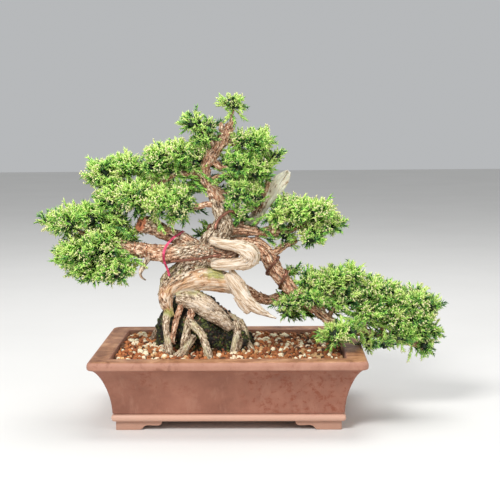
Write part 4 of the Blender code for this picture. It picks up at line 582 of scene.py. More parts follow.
def foliage_finish():
    """Scale foliage: dark and bluish at the foot of a spray, bright at its tips, with cream buds."""
    leaf = Finish("Shimpaku foliage", Roughness=0.5)
    growth = leaf.attribute("growth")
    tip, tone, bud = leaf.parts(growth.outputs["Color"])
    woody = growth.outputs["Alpha"]
    where = leaf.place()
    patch = leaf.noise(where, 60.0, 3.0, 0.5)
    scales = leaf.noise(where, 1500.0, 2.0, 0.6)
    # The tone carries painted light and shade as well as each sprig's own tone
    level = leaf.plus(leaf.times(tip, 0.42), leaf.times(tone, 0.7))
    level = leaf.plus(level, leaf.times(leaf.plus(patch, -0.5), 0.35))
    green = leaf.ramp(
        level, (0.09, (0.005, 0.019, 0.007)), (0.27, (0.062, 0.2, 0.055)), (0.47, (0.35, 0.76, 0.1)),
        (0.73, (0.82, 1.0, 0.3)),
    )
    budded = leaf.mix(leaf.times(bud, 0.9), green, (0.95, 0.88, 0.5))
    shaded = leaf.mix(leaf.span(scales, 0.45, 0.3, 0.0, 0.3), budded, (0.04, 0.12, 0.03))
    twig = leaf.ramp(scales, (0.35, (0.16, 0.07, 0.03)), (0.65, (0.42, 0.24, 0.12)))
    leaf.colour(leaf.mix(woody, shaded, twig))
    leaf.bump(scales, 0.0003, 0.5)
    return leaf.material


def grain_finish():
    """Akadama, pumice and dark grit: each grain carries its own colour."""
    grit = Finish("Akadama and pumice", Roughness=0.9)
    own = grit.attribute("tint").outputs["Color"]
    where = grit.place()
    speck = grit.noise(where, 700.0, 4.0, 0.7)
    dust = grit.mix(grit.span(speck, 0.6, 0.72, 0.0, 0.5), own, (0.55, 0.42, 0.3))
    grit.colour(grit.mix(grit.span(speck, 0.45, 0.3, 0.0, 0.55), dust, (0.07, 0.03, 0.018)))
    grit.bump(speck, 0.0008, 0.8)
    return grit.material


def muck_finish():
    """Wet black muck with dark moss on what faces up, its near-black colour partly painted shade from the crown
    over it.
    """
    muck = Finish("Moss and muck", Roughness=0.6)
    own = muck.attribute("tint").outputs["Color"]
    where = muck.place()
    coarse = muck.noise(where, 90.0, 5.0, 0.7)
    crumb = muck.noise(where, 600.0, 5.0, 0.7)
    # Partly painted shade: the bare muck is near black for the crown's shade
    earth_and_shade = muck.ramp(
        crumb, (0.3, (0.002, 0.0015, 0.001)), (0.6, (0.014, 0.009, 0.006)), (0.8, (0.06, 0.035, 0.02)),
    )
    green = muck.ramp(
        crumb, (0.36, (0.003, 0.005, 0.001)), (0.52, (0.03, 0.042, 0.007)), (0.66, (0.24, 0.26, 0.05)),
    )
    grown = muck.mix(muck.span(coarse, 0.46, 0.56), earth_and_shade, green)
    muck.colour(muck.mix(muck.attribute("tint").outputs["Alpha"], grown, own))
    muck.bump(crumb, 0.0015, 0.9)
    return muck.material


def scuffed_finish(name, scale, depth, stops, detail_roughness=0.6, **sockets):
    """A smooth thing whose colour varies with fine scuffs."""
    smooth = Finish(name, **sockets)
    scuff = smooth.noise(smooth.place(), scale, 4.0, detail_roughness)
    smooth.colour(smooth.ramp(scuff, *stops))
    smooth.bump(scuff, 0.0002, depth)
    return smooth.material


def wire_finish(name, colour, roughness, metallic):
    pale = tuple(min(1.0, value * 1.7 + 0.03) for value in colour)
    dark = tuple(value * 0.55 for value in colour)
    stops = (0.35, dark), (0.55, colour), (0.75, pale)
    return scuffed_finish(name, 350.0, 0.4, stops, Roughness=roughness, Metallic=metallic)


def strap_finish():
    stops = (0.3, (0.5, 0.03, 0.09)), (0.6, (0.83, 0.09, 0.2)), (0.8, (0.92, 0.25, 0.35))
    return scuffed_finish("Pink plastic tie", 160.0, 0.3, stops, Roughness=0.35)


def screen_finish():
    stops = (0.4, (0.018, 0.018, 0.018)), (0.75, (0.12, 0.08, 0.06))
    return scuffed_finish("Black screen plastic", 400.0, 0.4, stops, 0.7, Roughness=0.5)


# Making pieces

def clamp(value, low=0.0, high=1.0):
    return min(high, max(low, value))


def smoothstep(low, high, value):
    share = clamp((value - low) / (high - low))
    return share * share * (3 - 2 * share)


def jumble(draw, reach):
    """A vector with each part drawn between minus and plus the reach."""
    return Vector([draw.uniform(-reach, reach) for _ in range(3)])


def loose_way(draw):
    return Vector([draw.gauss(0, 1) for _ in range(3)])


def sized(*sizes):
    """The matrix that scales by these three sizes."""
    return Matrix.Diagonal((*sizes, 1.0))


def mesh_of(shape, name):
    """The bmesh as a mesh; the bmesh is freed."""
    mesh = bpy.data.meshes.new(name)
    shape.to_mesh(mesh)
    shape.free()
    return mesh


def placed(name, data):
    """A new object in the scene."""
    made = bpy.data.objects.new(name, data)
    bpy.context.scene.collection.objects.link(made)
    return made


def evaluated(thing):
    """The object's shape after its modifiers."""
    bpy.context.view_layer.update()
    result = bmesh.new()
    result.from_object(thing, bpy.context.evaluated_depsgraph_get())
    return result


def finished(name, shape, material, slot, *nodes, sharp=None):
    """Sets the shape over the model and makes it a piece that stands for the named nodes."""
    bmesh.ops.transform(shape, matrix=TO_MODEL, verts=shape.verts)
    mesh = mesh_of(shape, name)
    mesh.shade_smooth()
    if sharp is not None:
        mesh.set_sharp_from_angle(angle=math.radians(sharp))
    mesh.materials.append(material)
    made = placed(name, mesh)
    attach(made, "root")
    if nodes:
        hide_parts(*nodes)


def join(shape, other):
    """Adds one bmesh to another, and frees it."""
    add_mesh(shape, mesh_of(other, "spare"))


def add_mesh(shape, mesh):
    """Adds a mesh to the bmesh, removes the mesh and returns the new vertices."""
    start = len(shape.verts)
    shape.from_mesh(mesh)
    bpy.data.meshes.remove(mesh)
    shape.verts.ensure_lookup_table()
    return shape.verts[start:]


def add_copy(shape, template, matrix):
    """Adds a copy of the template in its place and returns its vertices."""
    copy = template.copy()
    copy.transform(matrix)
    return add_mesh(shape, copy)


def discard(meshes):
    for mesh in meshes:
        bpy.data.meshes.remove(mesh)


def remeshed(shape, kind, **settings):
    """The shape after one modifier of this kind."""
    mesh = mesh_of(shape, "spare")
    spare = placed("spare", mesh)
    added = spare.modifiers.new(kind, kind)
    for name, value in settings.items():
        setattr(added, name, value)
    result = evaluated(spare)
    bpy.data.objects.remove(spare, do_unlink=True)
    bpy.data.meshes.remove(mesh)
    return result


def curve_through(points, steps):
    """Points, with any radius they carry, along a Catmull-Rom curve."""
    rows = [Vector(p) for p in points]
    ends = [2 * rows[0] - rows[1], *rows, 2 * rows[-1] - rows[-2]]
    route = []
    for a, b, c, d in zip(ends, ends[1:], ends[2:], ends[3:]):
        for step in range(steps):
            t = step / steps
            bend = (2 * a - 5 * b + 4 * c - d) * t * t + (3 * b - a - 3 * c + d) * t**3
            route.append(b + 0.5 * ((c - a) * t + bend))
    route.append(rows[-1])
    return route


def frames_along(route, outs=None):
    """At each point of the route a turn: its Z runs along the route, its X keeps as still as it can."""
    side = None
    frames = []
    for index in range(len(route)):
        way = (route[min(index + 1, len(route) - 1)] - route[max(index - 1, 0)]).normalized()
        side = outs[index] if outs else side or way.orthogonal()
        side = (side - way * side.dot(way)).normalized()
        frames.append(Matrix((side, way.cross(side), way)).transposed())
    return frames


def sweep(route, radii, sides, outs=None, flat=1.0):
    """A closed tube through the points, one ring at each; outs turns its flat side, and flat thins it."""
    shape = bmesh.new()
    frames = frames_along(route, outs)
    ring = bmesh.ops.create_circle(shape, cap_ends=True, segments=sides, radius=1.0)["verts"]
    bmesh.ops.scale(shape, verts=ring, vec=(flat, 1.0, 1.0))
    face = ring[0].link_faces[0]
    last = Matrix.Identity(4)
    for point, radius, turn in zip(route, radii, frames):
        here = Matrix.Translation(point) @ turn.to_4x4() @ Matrix.Scale(radius, 4)
        if point is not route[0]:
            grown = bmesh.ops.extrude_face_region(shape, geom=[face])["geom"]
            face = next(item for item in grown if isinstance(item, bmesh.types.BMFace))
        bmesh.ops.transform(shape, matrix=here @ last.inverted(), verts=face.verts)
        last = here
    bmesh.ops.recalc_face_normals(shape, faces=shape.faces)
    return shape


# Wood

LEAFY = {}  # for each pad, places along its twigs where single sprigs grow, and the way the twig runs there


def leaf_out(pad, route):
    """Marks places for sprigs along a route of points."""
    for before, after in zip(route, route[1:]):
        along = after - before
        for step in range(max(1, round(along.length / SLEEVE_STEP))):
            LEAFY.setdefault(pad, []).append((before.lerp(after, step * SLEEVE_STEP / along.length), along))


def leaf_out_limbs():
    """Sprigs along the outer stretch of each carrying limb, in the pad that it runs through."""
    steps = 3
    for limb in CARRIERS:
        route = curve_through(LIMBS[limb], steps)[round(steps * LEAFLESS.get(limb, LEAFLESS_ELSEWHERE)):]
        for before, after in zip(route, route[1:]):
            before, after = before.to_3d(), after.to_3d()

            def away(pad):
                return min((Vector(clump[:3]) - after).length - max(clump[3:]) for clump in PADS[pad])

            pad = min(PADS, key=away)
            if away(pad) < PAD_REACH:
                leaf_out(pad, [before, after])


def twigs_into_clumps():
    """A twig from the nearest carrying limb into each clump that no limb reaches."""
    carriers = [point for name in CARRIERS for point in curve_through(LIMBS[name], 4)]
    twigs = []
    for pad, clumps in PADS.items():
        for x, y, z, rx, _, rz in clumps:
            middle = Vector((x, y, z))
            nearest = min(carriers, key=lambda p: (p.to_3d() - middle).length)
            start = nearest.to_3d()
            away = (middle - start).length
            if away < 0.35 * min(rx, rz):
                continue
            leaf_out(pad, [start.lerp(middle, 0.2), middle])
            reach = min(nearest[3] * 0.8, 3.0)
            bend = start.lerp(middle, 0.5) + Vector((0.0, 0.0, away * 0.12))
            twigs.append(((*start, reach), (*bend, max(reach * 0.75, 1.6)), (*middle, 1.5)))
    return twigs


def surface_of(name):
    """The limb's own surface, or that of its kind."""
    kinds = (name, *(kind for kind in ("root_red", "root") if name.startswith(kind)), "twig")
    return next(SURFACES[kind] for kind in kinds if kind in SURFACES)


def relief(kind, a, b, s):
    """Height of the bark or grain at a point round and along a limb, and the painted shade of its cracks and
    hollows.
    """
    if kind == "dead":
        grain = noise.noise((a * 0.42, b * 0.42, s * 0.03))
        fibre = noise.noise((a * 1.1, b * 1.1, s * 0.07 + 9))
        rift = noise.noise((a * 0.15, b * 0.15, s * 0.016 + 31))
        broken = smoothstep(-0.05, 0.3, noise.noise((a * 0.11, b * 0.11, s * 0.045 + 71)))
        split = math.exp(-((rift / 0.055) ** 2)) * broken
        crevice_shade = 0.75 * split + max(0.0, -grain - 0.25) * 0.7
        return 0.55 * grain + 0.22 * fibre - 1.5 * split, min(1.0, crevice_shade)
    if kind == "string":
        ridge = 1 - 2.2 * abs(noise.noise((a * 0.33, b * 0.33, s * 0.045)))
        fibre = noise.noise((a * 0.9, b * 0.9, s * 0.1 + 5))
        flake = noise.noise((a * 0.25, b * 0.25, s * 0.14 + 17))
        height = 1.0 * ridge + 0.6 * fibre + 0.7 * flake - 0.7
        return height, smoothstep(0.0, -1.0, height)
    if kind == "bark":
        plate = 1 - 2.3 * abs(noise.noise((a * 0.2, b * 0.2, s * 0.08)))
        flake = noise.noise((a * 0.5, b * 0.5, s * 0.2 + 5))
        crumb = noise.noise((a * 1.0, b * 1.0, s * 0.55 + 3))
        height = 1.25 * plate + 1.0 * flake + 0.5 * crumb - 0.6
        return height, smoothstep(0.0, -1.2, height)
    knot = noise.noise((a * 0.13, b * 0.13, s * 0.07))
    skin = noise.noise((a * 0.5, b * 0.5, s * 0.16 + 3))
    fine = noise.noise((a * 1.1, b * 1.1, s * 0.5))
    height = 0.9 * knot + 0.4 * skin + 0.2 * fine
    return height, smoothstep(-0.25, -1.0, height) * 0.7


def flatten_sail(limb):
    """The sail is a plank, thin across the way it faces."""
    middle = Vector(SAIL_MIDDLE)
    across = Vector(SAIL_ACROSS).normalized()
    for vert in limb.verts:
        vert.co -= across * ((vert.co - middle).dot(across) * SAIL_FLATTENED)
        off = vert.co.x - middle.x - (vert.co.z - middle.z) * SAIL_LEAN
        vert.co.x += off * SAIL_SPREAD * smoothstep(238, 262, vert.co.z) * smoothstep(292, 276, vert.co.z)


def wood_limbs():
    """Every limb's name and its points with radii."""
    rows = list(LIMBS.items())
    return rows + [(f"twig_{index}", points) for index, points in enumerate(twigs_into_clumps())]


def limb_places(points, limbs):
    """For each point: the nearest limb's number and the place on its skin, and the same for the next limb.

    A place is the distance from the limb's skin, the two lengths across the limb and the length along it.
    """
    count = len(points)
    best = np.full((count, 2, 5), 1e9)
    for number, (_, rows) in enumerate(limbs):
        route = curve_through(rows, 8)
        axis = np.array([p[:3] for p in route])
        girth = np.array([p[3] for p in route])
        turns = np.array([np.array(turn) for turn in frames_along([p.to_3d() for p in route])])
        along = np.concatenate(([0.0], np.cumsum(np.linalg.norm(np.diff(axis, axis=0), axis=1))))
        margin = girth.max() + LIMB_MARGIN
        near = np.where(np.all((points > axis.min(0) - margin) & (points < axis.max(0) + margin), axis=1))[0]
        for chunk in np.array_split(near, max(1, len(near) // POINTS_AT_ONCE)):
            if not len(chunk):
                continue
            gaps = points[chunk][:, None, :] - axis[None]
            skin = np.linalg.norm(gaps, axis=2) - girth[None]
            pick = skin.argmin(1)
            row = np.arange(len(chunk))
            local = np.einsum("ij,ijk->ik", gaps[row, pick], turns[pick])
            found = np.column_stack(
                (skin[row, pick], np.full(len(chunk), number), local[:, :2], along[pick] + local[:, 2])
            )
            nearer = found[:, 0] < best[chunk, 0, 0]
            second = ~nearer & (found[:, 0] < best[chunk, 1, 0])
            best[chunk[nearer], 1] = best[chunk[nearer], 0]
            best[chunk[nearer], 0] = found[nearer]
            best[chunk[second], 1] = found[second]
    return best


def bark_layers(shape):
    """What the wood's material reads: the place in the grain, how dead, red and green it is, and the painted shade
    of its cracks.
    """
    layers = shape.verts.layers
    return layers.float_vector.new("grain"), layers.float_color.new("wear_and_shade")


def redder(z):
    """How much redder the trunk's bark gets towards its top."""
    return 0.75 * smoothstep(236, 256, z)


def carve(shape, limbs):
    """Gives the smooth wood its bark, grain and cracks, and the attributes that its material reads, painted shade
    in the cracks among them.
    """
    shape.verts.ensure_lookup_table()
    grain_layer, wear_and_shade_layer = bark_layers(shape)
    sawn_end_and_sail_light_layer = shape.verts.layers.float.new("cut")
    points = np.array([vert.co for vert in shape.verts])
    normals = [vert.normal.copy() for vert in shape.verts]
    places = limb_places(points, limbs)
    surfaces = [surface_of(name) for name, _ in limbs]
    names = [name for name, _ in limbs]
    girths = [max(row[3] for row in rows) for _, rows in limbs]
    before, cut_end = (Vector(row[:3]) for row in LIMBS["left_fork"][-2:])
    cut_way = (cut_end - before).normalized()
    for vert, normal, rows in zip(shape.verts, normals, places):
        spot = vert.co.copy()
        total, height, split = 0.0, 0.0, 0.0
        wear_and_shade = Vector((0.0, 0.0, 0.0))
        for skin, number, a, b, s in rows:
            if skin > 1e8:
                continue
            share = math.exp(-max(0.0, skin - rows[0][0]) / LIMB_BLEND)
            kind, dead, red, green = surfaces[int(number)]
            twist = s * GRAIN_TWIST
            a, b = a * math.cos(twist) - b * math.sin(twist), a * math.sin(twist) + b * math.cos(twist)
            s += LIMB_SHIFT * number
            if total == 0.0:
                vert[grain_layer] = (a, b, s)
            name = names[int(number)]
            if name == "trunk":
                kind = "string" if spot.z > 250 else kind
                red += redder(spot.z)
                green += 0.35 * smoothstep(190, 165, spot.z)
            elif name == "left_branch":
                red *= smoothstep(-46, -66, spot.x)
            elif name == "crown":
                green += 0.28 * smoothstep(134, 146, spot.z)
            elif name == "arch":
                green += 0.7 * smoothstep(-34, -10, spot.x) * smoothstep(158, 166, spot.z)
                green += 0.4 * smoothstep(134, 118, spot.z)
                dead -= 0.6 * smoothstep(-66, -72, spot.x)
            lift, crevice_shade = relief(kind, a, b, s)
            # The filler behind the loop is painted dark all over, as the hollow's shade
            if name == "heartwood":
                crevice_shade = 0.8
            # The trunk gets more painted crevice shade towards its top, so it is darker there
            elif name == "trunk":
                crevice_shade = min(1.0, crevice_shade + 0.3 * smoothstep(238, 258, spot.z))
            size = min(1.0, 0.25 + girths[int(number)] / 10)
            total += share
            height += share * lift * size
            split += share * crevice_shade
            wear_and_shade += share * Vector((dead, red, green))
        wear_and_shade /= total
        # Its fourth value is the painted shade of the cracks
        vert[wear_and_shade_layer] = (*wear_and_shade, split / total)
        sawn = (spot - cut_end).dot(cut_way)
        at_cut = smoothstep(CUT_RADIUS + 1, CUT_RADIUS - 1, (spot - cut_end).length)
        vert[sawn_end_and_sail_light_layer] = smoothstep(-1.3, -0.2, sawn) * at_cut
        # The sail is marked for the whiter colour that paints light on it
        if names[int(rows[0][1])] == "sail_jin":
            vert[sawn_end_and_sail_light_layer] = -1.0
        wave = noise.noise((spot.x * 0.045, spot.y * 0.09, spot.z * 0.045))
        rough = noise.noise(spot * 0.16)
        vert.co = spot + normal * (1.1 * wave + 0.45 * rough + height / total)


def drop_scraps(shape):
    """Keeps only the largest connected body."""
    left = set(shape.verts)
    bodies = []
    while left:
        front = [left.pop()]
        body = [*front]
        while front:
            for edge in front.pop().link_edges:
                for vert in edge.verts:
                    if vert in left:
                        left.discard(vert)
                        body.append(vert)
                        front.append(vert)
        bodies.append(body)
    bodies.sort(key=len)
    bmesh.ops.delete(shape, geom=[vert for body in bodies[:-1] for vert in body], context="VERTS")


def make_wood(material):
    limbs = wood_limbs()
    shape = bmesh.new()
    for name, rows in limbs:
        route = curve_through(rows, 4)
        limb = sweep([p.to_3d() for p in route], [p[3] for p in route], LIMB_SIDES)
        if name == "sail_jin":
            flatten_sail(limb)
        join(shape, limb)
    shape = remeshed(shape, "REMESH", mode="VOXEL", voxel_size=WOOD_VOXEL)
    drop_scraps(shape)
    carve(shape, limbs)
    faces = sum(len(face.verts) - 2 for face in shape.faces)
    shape = remeshed(shape, "DECIMATE", ratio=min(1.0, WOOD_TRIANGLES / faces))
    drop_scraps(shape)
    skin = BVHTree.FromBMesh(shape)
    finished("tree_wood", shape, material, "bark", "wood")
    return skin


def flake_template(draw):
    """A scrap of bark a millimetre long: a thin strip whose far end is narrow and lifted."""
    shape = bmesh.new()
    bmesh.ops.create_cube(shape, size=1.0)
    for vert in shape.verts:
        far = vert.co.z > 0
        vert.co.x *= draw.uniform(0.4, 0.8) if far else draw.uniform(0.9, 1.2)
        vert.co.y += draw.uniform(0.6, 1.6) if far else 0.0
    return mesh_of(shape, "flake")


def make_flakes(material, skin):
    """Loose scraps of bark that lie along the limbs."""
    draw = random.Random(77)
    whole = bmesh.new()
    grain_layer, wear_and_shade_layer = bark_layers(whole)
    scraps = [flake_template(draw) for _ in range(5)]
    for name, rows in LIMBS.items():
        kind, dead, red, green = surface_of(name)
        room = FLAKE_AREA if kind in ("bark", "string") else BARE_FLAKE_AREA
        route = curve_through(rows, 8)
        turns = frames_along([p.to_3d() for p in route])
        for here, after, turn in zip(route, route[1:], turns):
            area = math.tau * here[3] * (after - here).to_3d().length
            for _ in range(int(area / room + draw.random()) if here[3] > FLAKY_RADIUS else 0):
                middle = here.lerp(after, draw.random()).to_3d()
                angle = draw.uniform(0, math.tau)
                out = turn @ Vector((math.cos(angle), math.sin(angle), 0.0))
                spot, normal, _, _ = skin.ray_cast(middle, out, here[3] * 1.7)
                if spot is None or normal.dot(out) < 0.4:
                    continue
                way = turn.col[2] * draw.choice((-1, 1)) + turn.col[0] * draw.uniform(-0.3, 0.3)
                way = (way - normal * way.dot(normal)).normalized()
                stand = Matrix((normal.cross(way), normal, way)).transposed().to_4x4()
                sizes = sized(draw.uniform(0.9, 2.0), draw.uniform(0.35, 0.6), draw.uniform(2.5, 7.0))
                stand = Matrix.Translation(spot + normal * 0.1) @ stand @ sizes
                added = add_copy(whole, draw.choice(scraps), stand)
                ruddy = red + (redder(spot.z) if name == "trunk" else 0.0)
                shift = Vector([draw.uniform(0, 60) for _ in range(3)])
                for vert in added:
                    vert[grain_layer] = vert.co * 0.5 + shift
                    vert[wear_and_shade_layer] = (dead + draw.uniform(-0.1, 0.1), ruddy, green * 0.5, 0.0)
    discard(scraps)
    finished("bark_flakes", whole, material, "bark")


# Foliage

def shoot(shape, start, way, length, width, growth, layer):
    """One cord of scale foliage, a slim three-sided cone."""
    before = set(shape.verts)
    bmesh.ops.create_cone(shape, cap_ends=True, segments=3, radius1=width, radius2=0.0, depth=length)
    verts = [vert for vert in shape.verts if vert not in before]
    first, last, tone, bud = growth
    for vert in verts:
        vert[layer] = (last if vert.co.z > 0 else first, tone, bud, 0.0)
    turn = Vector(way).to_track_quat("Z", "Y").to_matrix().to_4x4()
    stand = turn @ Matrix.Translation((0.0, 0.0, length / 2))
    bmesh.ops.transform(shape, matrix=Matrix.Translation(start) @ stand, verts=verts)


def sprig_template(draw, shoots, buds):
    """A small fan of cords: a bent leader, side shoots from both its sides, and cream buds at some ends."""
    shape = bmesh.new()
    layer = shape.verts.layers.float_color.new("growth")
    length = draw.uniform(*SPRIG_LENGTHS)
    bend = draw.uniform(-0.2, 0.2)

    def grow(start, way, reach, width, first, last):
        tone = clamp(draw.gauss(0.5, 0.2))
        shoot(shape, start, way, reach, width * draw.uniform(0.9, 1.12), (first, last, tone, 0.0), layer)

    knee = Vector((bend * length * 0.5, 0.0, length * 0.5))
    ahead = Vector((-bend * 0.6, draw.uniform(-0.15, 0.15), 1.0)).normalized()
    grow(Vector(), knee.normalized(), knee.length * 1.3, CORD_WIDTH, 0.0, 0.5)
    grow(knee * 0.85, ahead, length * 0.58, CORD_WIDTH * 0.95, 0.35, 1.0)
    hand = draw.choice((-1, 1))
    ends = [knee + ahead * length * 0.5]
    for index in range(shoots):
        share = 0.12 + 0.76 * index / shoots + draw.uniform(-0.03, 0.03)
        foot = knee * (share / 0.5) if share < 0.5 else knee + ahead * (share - 0.5) * length
        hand = -hand
        angle, roll = math.radians(draw.uniform(26, 54)), draw.uniform(-1.0, 1.0)
        aside = math.sin(angle)
        way = Vector((hand * aside * math.cos(roll), aside * math.sin(roll), math.cos(angle)))
        reach = length * (0.5 - 0.28 * share) * draw.uniform(0.75, 1.2)
        age = 0.12 + share * 0.45
        grow(foot, way, reach, CORD_WIDTH * 0.9, age, min(1.0, age + 0.6))
        ends.append(foot + way * reach * 0.92)
    for end in draw.sample(ends, min(buds, len(ends))):
        way = loose_way(draw).normalized()
        shoot(shape, end - way * BUD_SIZE * 0.6, way, BUD_SIZE * 2.0, BUD_SIZE, (1.0, 1.0, 0.8, 1.0), layer)
    return mesh_of(shape, "sprig")


def twig_template():
    """A bare twig a millimetre long and thick, to be stretched into place."""
    shape = bmesh.new()
    layer = shape.verts.layers.float_color.new("growth")
    bmesh.ops.create_cone(shape, cap_ends=True, segments=4, radius1=0.5, radius2=0.32, depth=1.0)
    bmesh.ops.translate(shape, verts=shape.verts, vec=(0.0, 0.0, 0.5))
    for vert in shape.verts:
        vert[layer] = (0.2, 0.5, 0.0, 1.0)
    return mesh_of(shape, "twig")


def plant(shape, template, values, matrix, tone):
    """Adds a copy of the template in its place, with its own tone."""
    copy = template.copy()
    copy.transform(matrix)
    own = values.copy()
    own[1::4] = np.clip(own[1::4] + (tone - 0.5), 0.0, 1.0)
    copy.attributes["growth"].data.foreach_set("color", own)
    add_mesh(shape, copy)


def even_directions(count, draw):
    """Directions spread evenly over a sphere, each turned a little by the draw."""
    golden = math.pi * (3 - math.sqrt(5))
    for index in range(count):
        z = 1 - 2 * (index + 0.5) / count
        flat = math.sqrt(1 - z * z)
        turn = index * golden
        yield (Vector((flat * math.cos(turn), flat * math.sin(turn), z)) + jumble(draw, 0.2)).normalized()


def ball_area(a, b, c):
    """Roughly the surface of an ellipsoid with these radii."""
    power = 1.6
    return 4 * math.pi * (((a * b) ** power + (a * c) ** power + (b * c) ** power) / 3) ** (1 / power)


def within(point, clump, share):
    return sum(((p - m) / (r * share)) ** 2 for p, m, r in zip(point, clump[:3], clump[3:])) < 1.0


def aimed(base, way, roll, size, length=None):
    """The matrix that stands a template on its base, along the way."""
    turn = way.to_track_quat("Z", "Y").to_matrix().to_4x4() @ Matrix.Rotation(roll, 4, "Z")
    return Matrix.Translation(base) @ turn @ sized(size, size, size if length is None else length)


def painted_shade_heart(shape, clump, seed):
    """Painted shade inside a clump: a crumpled ball well below its tips, in the foliage's darkest green."""
    ball = bmesh.new()
    layer = ball.verts.layers.float_color.new("growth")
    bmesh.ops.create_icosphere(ball, subdivisions=3, radius=1.0)
    for vert in ball.verts:
        swell = SHADE_HEART_SHARE * (1.0 + 0.55 * noise.noise(vert.co * 2.6 + Vector((seed, 0, 0))))
        vert.co = Vector([m + c * swell * r for m, c, r in zip(clump[:3], vert.co, clump[3:])])
        vert[layer] = (0.0, 0.0, 0.0, 0.0)
    join(shape, ball)


def in_clearing(base, aim, size):
    """Whether a sprig here would hide the deadwood or the bark that shows through the crown."""
    return any(
        math.hypot(spot.x - x, spot.z - z) < radius and spot.y < y
        for spot in (base, base + aim * size * 7, base + aim * size * 14)
        for x, y, z, radius in CLEARINGS
    )


def make_pad(name, clumps, material, sprigs, budded, twig, seed):
    """A bunch of foliage: twigs from each clump's middle, and sprays of sprigs at their ends."""
    draw = random.Random(seed)
    shape = bmesh.new()
    shape.verts.layers.float_color.new("growth")

    def rich(spot):
        """Whether buds grow in this patch."""
        return noise.noise(spot * 0.05 + Vector((seed, 0, 0))) > -0.1

    for number, clump in enumerate(clumps):
        middle, radii = Vector(clump[:3]), Vector(clump[3:])
        painted_shade_heart(shape, clump, seed * 10 + number)
        outward = Vector((middle.x + 10, middle.y * 0.6, 0.0)).normalized()
        room = TUFT_AREA * (SMALL_CLUMP_THINNED if max(radii) < SMALL_CLUMP else 1.0)
        for direction in even_directions(max(6, round(ball_area(*radii) / room)), draw):
            reach = Vector([d * r for d, r in zip(direction, radii)])
            if any(within(middle + reach * 0.9, other, 0.75) for other in clumps if other != clump):
                continue
            spot = middle + reach
            if in_clearing(middle, reach, 1 / 14):
                continue
            wave = noise.noise(spot * 0.07 + Vector((seed * 7, 0, 0)))
            leader = draw.random() < LEADER_SHARE
            share = SPRAY_REACH + 0.6 * wave + draw.uniform(-0.1, 0.12) + (LEADER_REACH if leader else 0.0)
            reach *= min(SPRAY_REACH_MOST, share)
            way = (reach.normalized() + outward * SPRAY_LEAN + Vector((0.0, 0.0, SPRAY_RISE))).normalized()
            foot = middle + reach * draw.uniform(0.3, 0.45)
            start = middle + reach * 0.1
            stalk = foot - start
            stand = aimed(start, stalk.normalized(), 0.0, draw.uniform(1.2, 2.0), stalk.length * 1.1)
            plant(shape, *twig, stand, 0.5)
            shade = 0.42 * noise.noise(spot * 0.13 + Vector((0, seed * 3, 0)))
            for count in range(3 if leader else draw.choice((3, 4, 4, 5))):
                widest = SPREAD_LEADER if leader else SPREAD_USUAL
                low, high = (SPREAD_MIDDLE, widest) if count else (0, SPREAD_MIDDLE)
                spread = math.radians(draw.uniform(low, high))
                across = way.orthogonal().normalized()
                across.rotate(Matrix.Rotation(draw.uniform(0, math.tau), 3, way))
                aim = (way * math.cos(spread) + across * math.sin(spread)).normalized()
                base = foot + (aim - way) * 1.5 + reach * draw.uniform(-0.12, 0.14)
                room = (reach.length - (base - middle).length) * draw.uniform(0.8, 1.35)
                size = clamp(room / SPRIG_LENGTH, 0.5, 1.25)
                if in_clearing(base, aim, size):
                    continue
                # Painted light and shade: brighter on the clump's top, darker on its underside
                height = 0.5 + 0.5 * direction.z
                tone = clamp(UNDERSIDE_SHADE_TONE + TOP_LIGHT_GAIN * height + shade + draw.uniform(-0.28, 0.34))
                group = budded if rich(spot) and draw.random() < BUDDED_SHARE else sprigs
                plant(shape, *draw.choice(group), aimed(base, aim, draw.uniform(0, math.tau), size), tone)
            # A dark sprig deeper in the clump, painted shade
            if draw.random() < SHADED_INNER_SHARE:
                inner = middle + reach * draw.uniform(0.15, 0.4)
                aim = (way + jumble(draw, 0.6)).normalized()
                stand = aimed(inner, aim, draw.uniform(0, math.tau), 0.9)
                plant(shape, *draw.choice(sprigs), stand, draw.uniform(0.0, 0.15))
    for spot, along in LEAFY.get(name, ()):
        aim = (loose_way(draw).normalized() + along.normalized() * 0.9).normalized()
        stand = aimed(spot, aim, draw.uniform(0, math.tau), draw.uniform(0.5, 0.85))
        plant(shape, *draw.choice(sprigs), stand, draw.uniform(0.1, 0.65))
    for spray in SPRAYS.get(name, ()):
        start, end, count, tone = Vector(spray[:3]), Vector(spray[3:6]), *spray[6:]
        for index in range(count):
            spot = start.lerp(end, (index + 0.5) / count * 0.85)
            loose = loose_way(draw)
            aim = ((end - start).normalized() + loose * 0.33).normalized()
            base = spot + loose * 1.3 - aim * 7.0
            stand = aimed(base, aim, draw.uniform(0, math.tau), draw.uniform(0.65, 0.95))
            group = budded if rich(spot) and draw.random() < LOOSE_BUDDED_SHARE else sprigs
            plant(shape, *draw.choice(group), stand, clamp(tone + draw.uniform(-0.18, 0.15)))
    finished(name.replace("pad", "foliage"), shape, material, "foliage", name)


def make_foliage(material):
    draw = random.Random(5)

    def stocked(mesh):
        values = np.zeros(len(mesh.vertices) * 4, np.float32)
        mesh.attributes["growth"].data.foreach_get("color", values)
        return mesh, values

    sprigs = [stocked(sprig_template(draw, SPRIG_SHOOTS, 0)) for _ in range(7)]
    budded = [stocked(sprig_template(draw, SPRIG_SHOOTS - 2, SPRIG_BUDS)) for _ in range(5)]
    twig = stocked(twig_template())
    leaf_out_limbs()
    for seed, (name, clumps) in enumerate(PADS.items(), 1):
        make_pad(name, clumps, material, sprigs, budded, twig, seed)
    discard(mesh for mesh, _ in (*sprigs, *budded, twig))


# Soil and moss

